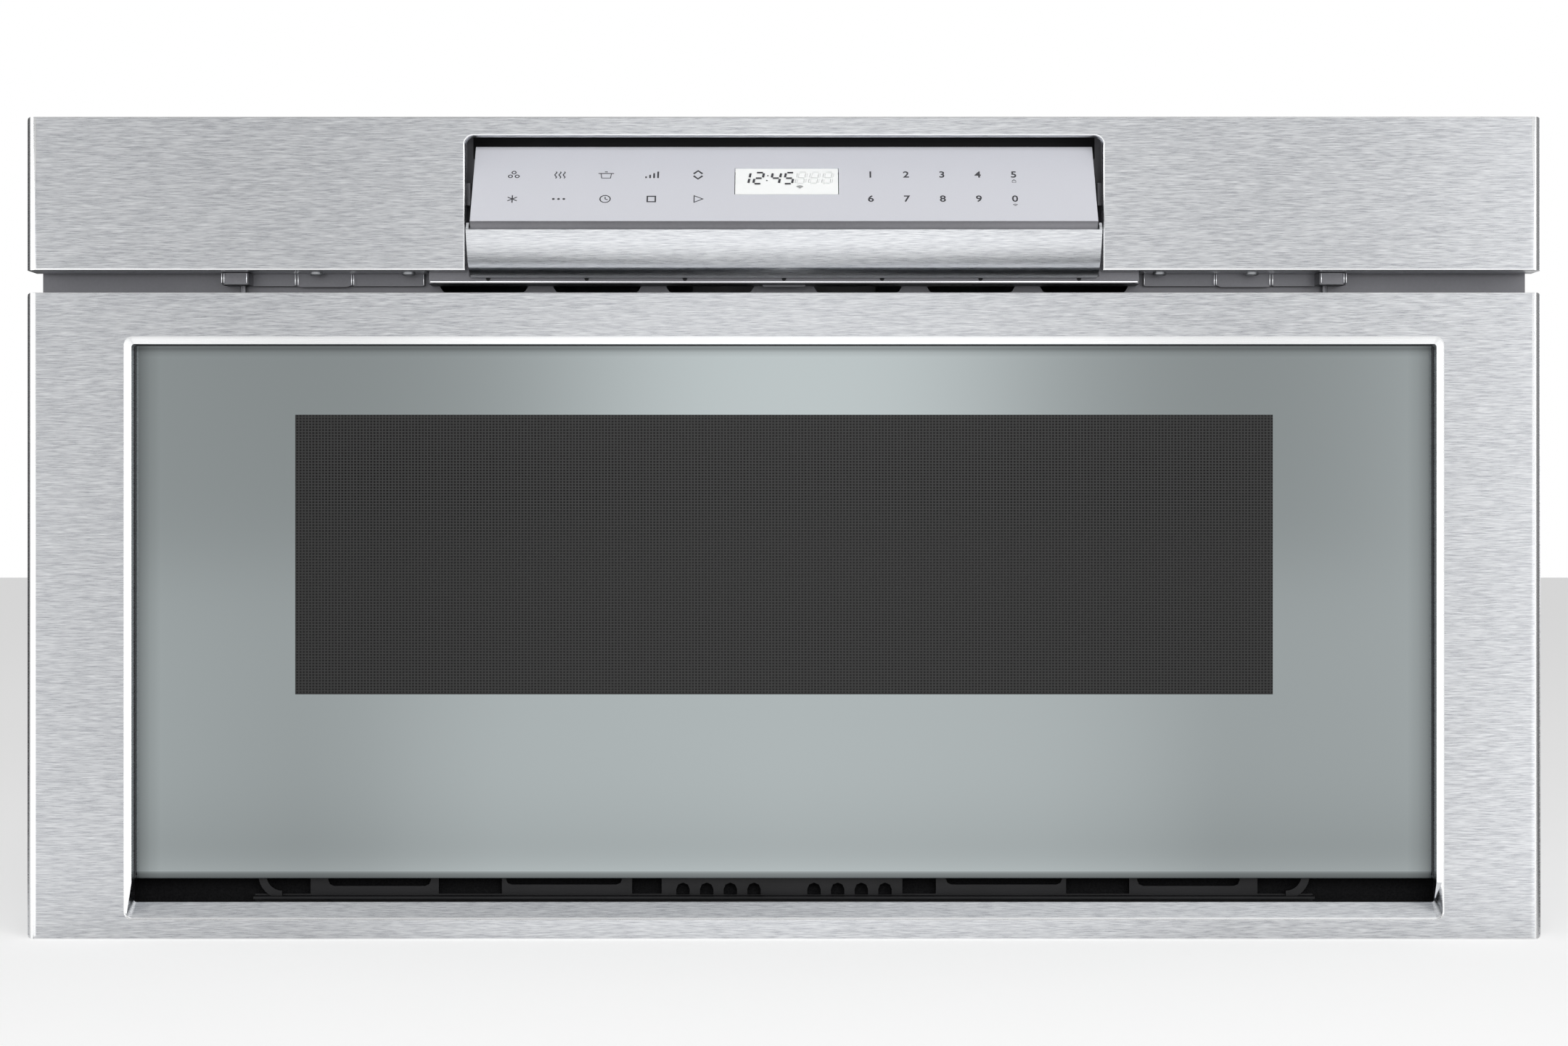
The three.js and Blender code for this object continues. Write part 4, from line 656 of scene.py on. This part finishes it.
# The colour is mixed towards near-white on these faces: a painted highlight.
shade(mix, {"Metallic": 1.0, "Anisotropic": 0.8, "Anisotropic Rotation": 0.25}, {
    "Base Color": blend(mix, painted_edge_highlight, brushed, paint(248, 249, 250)),
    "Roughness": streak * 0.10 + 0.24,
    "Normal": bump(mix, 0.10, 0.05, streak)})
STAINLESS = (steel, "stainless")

silver, mix, place = new_finish("silver_backed_key_glass")
flake = noise(mix, place, 2600, 1)
shade(mix, {"Specular IOR Level": 0.3}, {
    "Base Color": blend(mix, flake, paint(203, 204, 211), paint(210, 211, 217)),
    "Roughness": flake * 0.1 + 0.4})
KEY_GLASS = (silver, "silver_glass")

crystal_pane, mix, place = new_finish("liquid_crystal_pane")
veil = noise(mix, place, 200, 2)
shade(mix, {"Specular IOR Level": 0.3}, {
    "Base Color": blend(mix, veil, paint(243, 245, 244), paint(249, 250, 249)),
    "Roughness": veil * 0.1 + 0.2})
DISPLAY = (crystal_pane, "display")

press("pod_housing", 0.25 * MM, GREY_STEEL)
press("pod_frame", 0.3 * MM, BLACK_MOULDING)
press("control_board", 0.2 * MM, BOARD)
press("pod_nose", 0.2 * MM, STAINLESS)
press("control_glass", 0.3 * MM, KEY_GLASS)
press("display_window", 0.15 * MM, DISPLAY)
# The strip in the gutter under the key glass takes darker grey plated steel instead of stainless:
# painted shade.
bar("nose_channel_shade_strip", (-155.6, -18.7, 353.35), (155.6, -18.15, 357.5), 0.15,
    GREY_STEEL, "cabinet")
bar("shelf_edge", (-178, 9.9, 328.9), (178, 10.5, 329.75), 0.12, BRIGHT_EDGE, "cabinet")
set_heads("shelf_rivets", rivet(1.1 * MM, 0.5 * MM), True,
          [(x, 12, 331.0) for x in (-149, -99.4, -49.9, 0, 49.4, 99, 148.6)],
          BLACK_MOULDING, "cabinet")

# ---------------------------------------------------------------- marks on the key glass
# Screen-printed numbers and plain pictograms in dark grey ink, and the clock's slanted bars in
# the liquid-crystal pane. Each is a thin film on the leaning face.
GLASS_FOOT = Vector((0, FRONT_Y - 18 * MM, 357.7 * MM))
GLASS_HEAD = Vector((0, FRONT_Y + 18.8 * MM, 398 * MM))
up_slope = (GLASS_HEAD - GLASS_FOOT).normalized()
out_of_glass = Vector((1, 0, 0)).cross(up_slope)
on_glass = Matrix.Translation(GLASS_FOOT) @ Matrix((
    (1, up_slope.x, out_of_glass.x, 0), (0, up_slope.y, out_of_glass.y, 0),
    (0, up_slope.z, out_of_glass.z, 0), (0, 0, 0, 1)))

ink, mix, place = new_finish("dark_grey_ink")
film = noise(mix, place, 1500, 1)
shade(mix, {"Specular IOR Level": 0.2}, {
    "Base Color": blend(mix, film, paint(62, 62, 66), paint(80, 80, 84)),
    "Roughness": film * 0.2 + 0.4})
INK = (ink, "black_plastic")


def join_on_glass(name, marks, finish, lift):
    """Lays flat marks, drawn in x and s, on the leaning glass as one thin piece."""
    piece = join_as(name, marks)
    bpy.ops.object.transform_apply(location=True, rotation=True, scale=True)
    piece.data.transform(on_glass @ Matrix.Translation((0, 0, lift)))
    coat(piece, finish)
    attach(piece, "cabinet")


def numeral(text, x, s, height):
    """A printed number with its middle at x and s."""
    select_only(camera)
    bpy.ops.object.text_add(location=(x * MM, s * MM, 0))
    mark = bpy.context.object
    mark.data.body, mark.data.size = text, height * MM / 0.69
    mark.data.align_x, mark.data.align_y = "CENTER", "CENTER"
    mark.data.extrude, mark.data.offset = 0.03 * MM, 0.12 * MM
    mark.data.resolution_u = 4
    bpy.ops.object.convert(target="MESH")
    return bpy.context.object


def stroke(points, width, closed=False):
    """A printed line through points, in millimetres of x and s."""
    select_only(camera)
    bpy.ops.curve.primitive_bezier_curve_add()
    mark = bpy.context.object
    mark.data.splines.clear()
    line = mark.data.splines.new("POLY")
    line.points.add(len(points) - 1)
    for knot, (x, s) in zip(line.points, points):
        knot.co = (x * MM, s * MM, 0, 1)
    line.use_cyclic_u = closed
    mark.data.bevel_depth, mark.data.bevel_resolution = width / 2 * MM, 1
    mark.data.use_fill_caps = True
    bpy.ops.object.convert(target="MESH")
    mark = bpy.context.object
    mark.scale = (1, 1, 0.1)
    return mark


def arc(x, s, radius, start, end, steps=12):
    """Points on a circle, its angles in degrees."""
    angles = [math.radians(start + (end - start) * i / steps) for i in range(steps + 1)]
    return [(x + radius * math.cos(a), s + radius * math.sin(a)) for a in angles]


def shifted(points, x, s):
    """The same points moved by x and s."""
    return [(x + u, s + v) for u, v in points]


def steam(x):
    """A rising curl of steam at x."""
    return [(x + 0.45 * math.sin(v * 2.1), v * 1.15 - 2.6) for v in (i / 3 for i in range(14))]


NUMBER_COLUMNS = [43.3, 61.2, 79.2, 97.2, 115.2]
KEY_ROWS = (33.7, 15.9)
numbers = [
    numeral(text, column, row, 4.4)
    for row, texts in zip(KEY_ROWS, ("12345", "67890"))
    for column, text in zip(NUMBER_COLUMNS, texts)
]
join_on_glass("printed_numbers", numbers, INK, 0.03 * MM)

FINE, BOLD = 0.6, 1.1
pictograms = {  # key (column, row): lines as (points, width, closed)
    (-135.5, 0): [(arc(u, v, 1.0, 0, 330), FINE, True)
                  for u, v in ((-1.7, -1.1), (1.7, -1.1), (0, 1.7))],
    (-112.4, 0): [(steam(u), FINE, False) for u in (-2.1, 0, 2.1)],
    (-89.2, 0): [([(-2.6, 1.0), (-2.2, -2.4), (2.2, -2.4), (2.6, 1.0)], FINE, True),
                 ([(-3.9, 1.0), (3.9, 1.0)], FINE, False),
                 ([(-0.7, 2.2), (0.7, 2.2)], FINE, False)],
    (-66.15, 0): [([(u, -2.4), (u, -1.2 + 1.2 * i)], 0.9, False)
                  for i, u in enumerate((-3, -1, 1, 3))],
    (-43.1, 0): [([(-2.2, 0.8), (0, 3.0), (2.2, 0.8)], BOLD, False),
                 ([(-2.2, -0.8), (0, -3.0), (2.2, -0.8)], BOLD, False)],
    (-135.5, 1): [(arc(0, 0, 2.7, a, a + 180, 1), FINE, False) for a in (30, 90, 150)],
    (-112.4, 1): [(arc(u, 0, 0.35, 0, 330), 0.7, True) for u in (-2.6, 0, 2.6)],
    (-89.2, 1): [(arc(0, 0, 2.6, 0, 330), FINE, True),
                 ([(0, 1.5), (0, 0), (1.3, -0.6)], FINE, False)],
    (-66.15, 1): [([(-2.0, -2.0), (2.0, -2.0), (2.0, 2.0), (-2.0, 2.0)], BOLD, True)],
    (-43.1, 1): [([(-1.7, -2.4), (2.6, 0), (-1.7, 2.4)], BOLD, True)],
    (115.2, 0): [([(-0.9, -5.6), (0.9, -5.6), (0.9, -4.3), (-0.9, -4.3)], 0.35, True),
                 (arc(0, -4.2, 0.6, 0, 180), 0.3, False)],
    (115.2, 1): [(arc(0, -5.4, r, 45, 135, 6), 0.3, False) for r in (0.5, 1.1, 1.7)],
}
drawn = [
    stroke(shifted(points, column, KEY_ROWS[row]), width, closed)
    for (column, row), lines in pictograms.items() for points, width, closed in lines
]
join_on_glass("printed_pictograms", drawn, INK, 0.03 * MM)

# The clock's digits are bars that lean a little; the unlit ones show as a faint veil.
BARS = {"a": ((0.3, 2), (1.7, 2)), "b": ((2, 1.85), (2, 1.15)), "c": ((2, 0.85), (2, 0.15)),
        "d": ((0.3, 0), (1.7, 0)), "e": ((0, 0.15), (0, 0.85)), "f": ((0, 1.15), (0, 1.85)),
        "g": ((0.3, 1), (1.7, 1))}
HALF_WIDE, HALF_HIGH, LEAN, DIGIT_FOOT, BAR_WIDTH = 2.1, 4.1, 0.62, 27.0, 1.1


def clock_digit(bars, x):
    """One digit's bars, in a field that starts at x and leans to the right."""
    return [
        stroke([(x + u * HALF_WIDE + v * LEAN, DIGIT_FOOT + v * HALF_HIGH)
                for u, v in BARS[letter]], BAR_WIDTH)
        for letter in bars]


lit = sum((clock_digit(bars, x) for bars, x in (
    ("bc", -22.1), ("abged", -15.4), ("fgbc", -6.8), ("afgcd", -0.2))), [])
lit += [stroke(arc(x, s, 0.2, 0, 330), 0.4, True) for x, s in ((-8.6, 29.4), (-8.1, 32.9))]
lit += [stroke(arc(7.9, 23.2, r, 45, 135, 6), 0.35) for r in (0.7, 1.5, 2.3)]
join_on_glass("clock_digits", lit, INK, 0.22 * MM)

veiled, mix, place = new_finish("unlit_segments")
film = noise(mix, place, 1500, 1)
shade(mix, {"Specular IOR Level": 0.2, "Roughness": 0.3}, {
    "Base Color": blend(mix, film, paint(236, 238, 237), paint(241, 243, 242))})
unlit = sum((clock_digit("abcdefg", x) for x in (6.0, 12.6, 19.2)), [])
join_on_glass("unlit_segments", unlit, (veiled, "display"), 0.2 * MM)

# ---------------------------------------------------------------- fascia
# One folded stainless pressing, brushed from side to side, with a notch that frames the pod. It
# closes the front over the face plate and is screwed up through its lower flange.
press("fascia", 0.15 * MM, STAINLESS, front=(1.0 * MM, 1.0 * MM))

# ---------------------------------------------------------------- drawer box
# A drawn steel pan in the cavity's enamel with a glass-ceramic floor; in front of it the door
# pan, the moulded choke cover with its pane, and the perforated screen behind the glass.
HOLE_PITCH_X, HOLE_PITCH_Z = 1.62 * MM, 1.45 * MM


def perforate(mix, across, height, bridge):
    """1 in the holes and 0 on the bridges between them, which take this share of the pitch."""
    column = mix.add("ShaderNodeMath", {"operation": "FRACT"}, {0: across / HOLE_PITCH_X + 1000})
    row = mix.add("ShaderNodeMath", {"operation": "FRACT"}, {0: height / HOLE_PITCH_Z})
    return (column > bridge) * (row > bridge)


screen, mix, place = new_finish("perforated_black_screen")
across = mix.add("ShaderNodeSeparateXYZ", inputs={"Vector": place})
hole = perforate(mix, across, across.output("Z"), 0.3)
shade(mix, {"Specular IOR Level": 0.3, "Roughness": 0.5}, {
    "Base Color": blend(mix, hole, paint(60, 60, 60), paint(12, 12, 12))})
SCREEN = (screen, "black_steel")

pane, mix, place = new_finish("clear_pane")
wave = noise(mix, place, 8, 1)
shade(mix, {"Alpha": 0.3}, {
    "Base Color": blend(mix, wave, paint(186, 196, 194), paint(204, 212, 210)),
    "Roughness": wave * 0.04 + 0.04})
CLEAR_GLASS = (pane, "clear_glass")

press("oven_pan", 0.3 * MM, ENAMEL)
press("pan_floor", 0.8 * MM, CERAMIC)
press("door_pan", 0.3 * MM, BLACK_PAINT)
press("choke_cover", 0.4 * MM, BLACK_MOULDING)
press("inner_pane", 0.3 * MM, CLEAR_GLASS)
press("window_screen", 0.1 * MM, SCREEN)
# The air guide takes black paint: painted shade for the dark slot under the glass.
press("air_guide", 0.2 * MM, BLACK_PAINT)
for side in ("right", "left"):
    press("frame_web_" + side, 0.3 * MM, GALVANISED)

# ---------------------------------------------------------------- drawer front
# A folded stainless frame with a bevelled opening, and the half-mirror glass that sits in it in
# a thin rubber gasket. The glass is coated on its back; a black dot screen shows through its
# clear middle.
press("drawer_frame", 0.15 * MM, STAINLESS, front=(0.8 * MM, 1.6 * MM))

WINDOW_HALF, WINDOW_FOOT, WINDOW_HEAD = 246.2 * MM, 121.7 * MM, 262.5 * MM
GLASS_HALF, GLASS_LOW, GLASS_HIGH = 327 * MM, 28.9 * MM, 297.5 * MM
half_mirror, mix, place = new_finish("half_mirror_glass")
across = mix.add("ShaderNodeSeparateXYZ", inputs={"Vector": place})
height = across.output("Z")
sideways = mix.add("ShaderNodeMath", {"operation": "ABSOLUTE"}, {0: across})
window = (sideways < WINDOW_HALF) * (height > WINDOW_FOOT) * (height < WINDOW_HEAD)
dots = blend(mix, perforate(mix, across, height, 0.36), paint(45, 45, 45), paint(15, 15, 15))
cloud = noise(mix, place, 3, 1)
mirror = blend(mix, cloud, paint(161, 169, 170), paint(168, 175, 176))
painted_shade_sides, painted_shade_top, painted_shade_foot = (  # painted shade: the glass is painted darker towards the sides, the top and the foot, where the frame shades it
    mix.add("ShaderNodeValToRGB", {"stops": stops}, {"Fac": inward / (reach * MM)})
    for inward, reach, stops in (
        (GLASS_HALF - sideways, 13,
         [(0.0, 0.25), (0.1, 0.48), (0.3, 0.66), (0.6, 0.86), (1.0, 1.0)]),
        (GLASS_HIGH - height, 6, [(0.0, 0.72), (0.3, 0.50), (0.6, 0.84), (1.0, 1.0)]),
        (height - GLASS_LOW, 3.9,
         [(0.0, 0.36), (0.15, 0.47), (0.45, 0.56), (0.88, 0.62), (1.0, 1.0)])))
# The painted shade darkens the mirror colour at the edges of the glass.
mirror = blend(mix, painted_shade_sides * painted_shade_top * painted_shade_foot, (0, 0, 0, 1), mirror)
shade(mix, {"Specular IOR Level": 0.25}, {
    "Base Color": blend(mix, window, mirror, dots),
    "Metallic": 1 - window,
    "Roughness": window * 0.1 + 0.10})
HALF_MIRROR = (half_mirror, "mirror_glass")
press("door_glass", 0.25 * MM, HALF_MIRROR)

rubber, mix, place = new_finish("dark_rubber")
bloom = noise(mix, place, 300, 2)
shade(mix, {"Specular IOR Level": 0.3}, {
    "Base Color": blend(mix, bloom, paint(64, 65, 67), paint(76, 77, 79)),
    "Roughness": bloom * 0.1 + 0.6})
GASKET_WIDE, GASKET_HIGH = 653.6 * MM, 295 * MM
GASKET_FRONT, GASKET_MIDDLE, GASKET_FOOT = 10.3 * MM, 150 * MM, 29.5 * MM  # open below its foot
GASKET_LIP, GASKET_DEPTH = 0.42 * MM, 1.3 * MM
select_only(camera)
bpy.ops.mesh.primitive_plane_add(
    size=1, location=(0, FRONT_Y + GASKET_FRONT, GASKET_MIDDLE), rotation=(math.pi / 2, 0, 0))
gasket = bpy.context.object
gasket.scale = (GASKET_WIDE, GASKET_HIGH, 1)
bpy.ops.object.transform_apply(location=True, rotation=True, scale=True)
bpy.ops.object.mode_set(mode="EDIT")
bpy.ops.mesh.select_all(action="SELECT")
bpy.ops.mesh.inset(thickness=GASKET_LIP)
bpy.ops.mesh.delete(type="FACE")
bpy.ops.mesh.select_all(action="SELECT")
bpy.ops.mesh.extrude_region_move(TRANSFORM_OT_translate={"value": (0, GASKET_DEPTH, 0)})
bpy.ops.mesh.select_all(action="SELECT")
bpy.ops.mesh.bisect(
    plane_co=(0, 0, GASKET_FOOT), plane_no=(0, 0, 1), clear_inner=True, use_fill=True)
bpy.ops.mesh.select_all(action="SELECT")
bpy.ops.mesh.remove_doubles(threshold=0.01 * MM)
bpy.ops.mesh.normals_make_consistent(inside=False)
bpy.ops.object.mode_set(mode="OBJECT")
softening = gasket.modifiers.new("softening", "BEVEL")
softening.width, softening.segments = 0.15 * MM, 3
bpy.ops.object.modifier_apply(modifier=softening.name)
bpy.ops.object.shade_smooth_by_angle(angle=math.radians(40))
gasket.name = "glass_gasket"
coat(gasket, (rubber, "black_plastic"))
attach(gasket, "drawer")
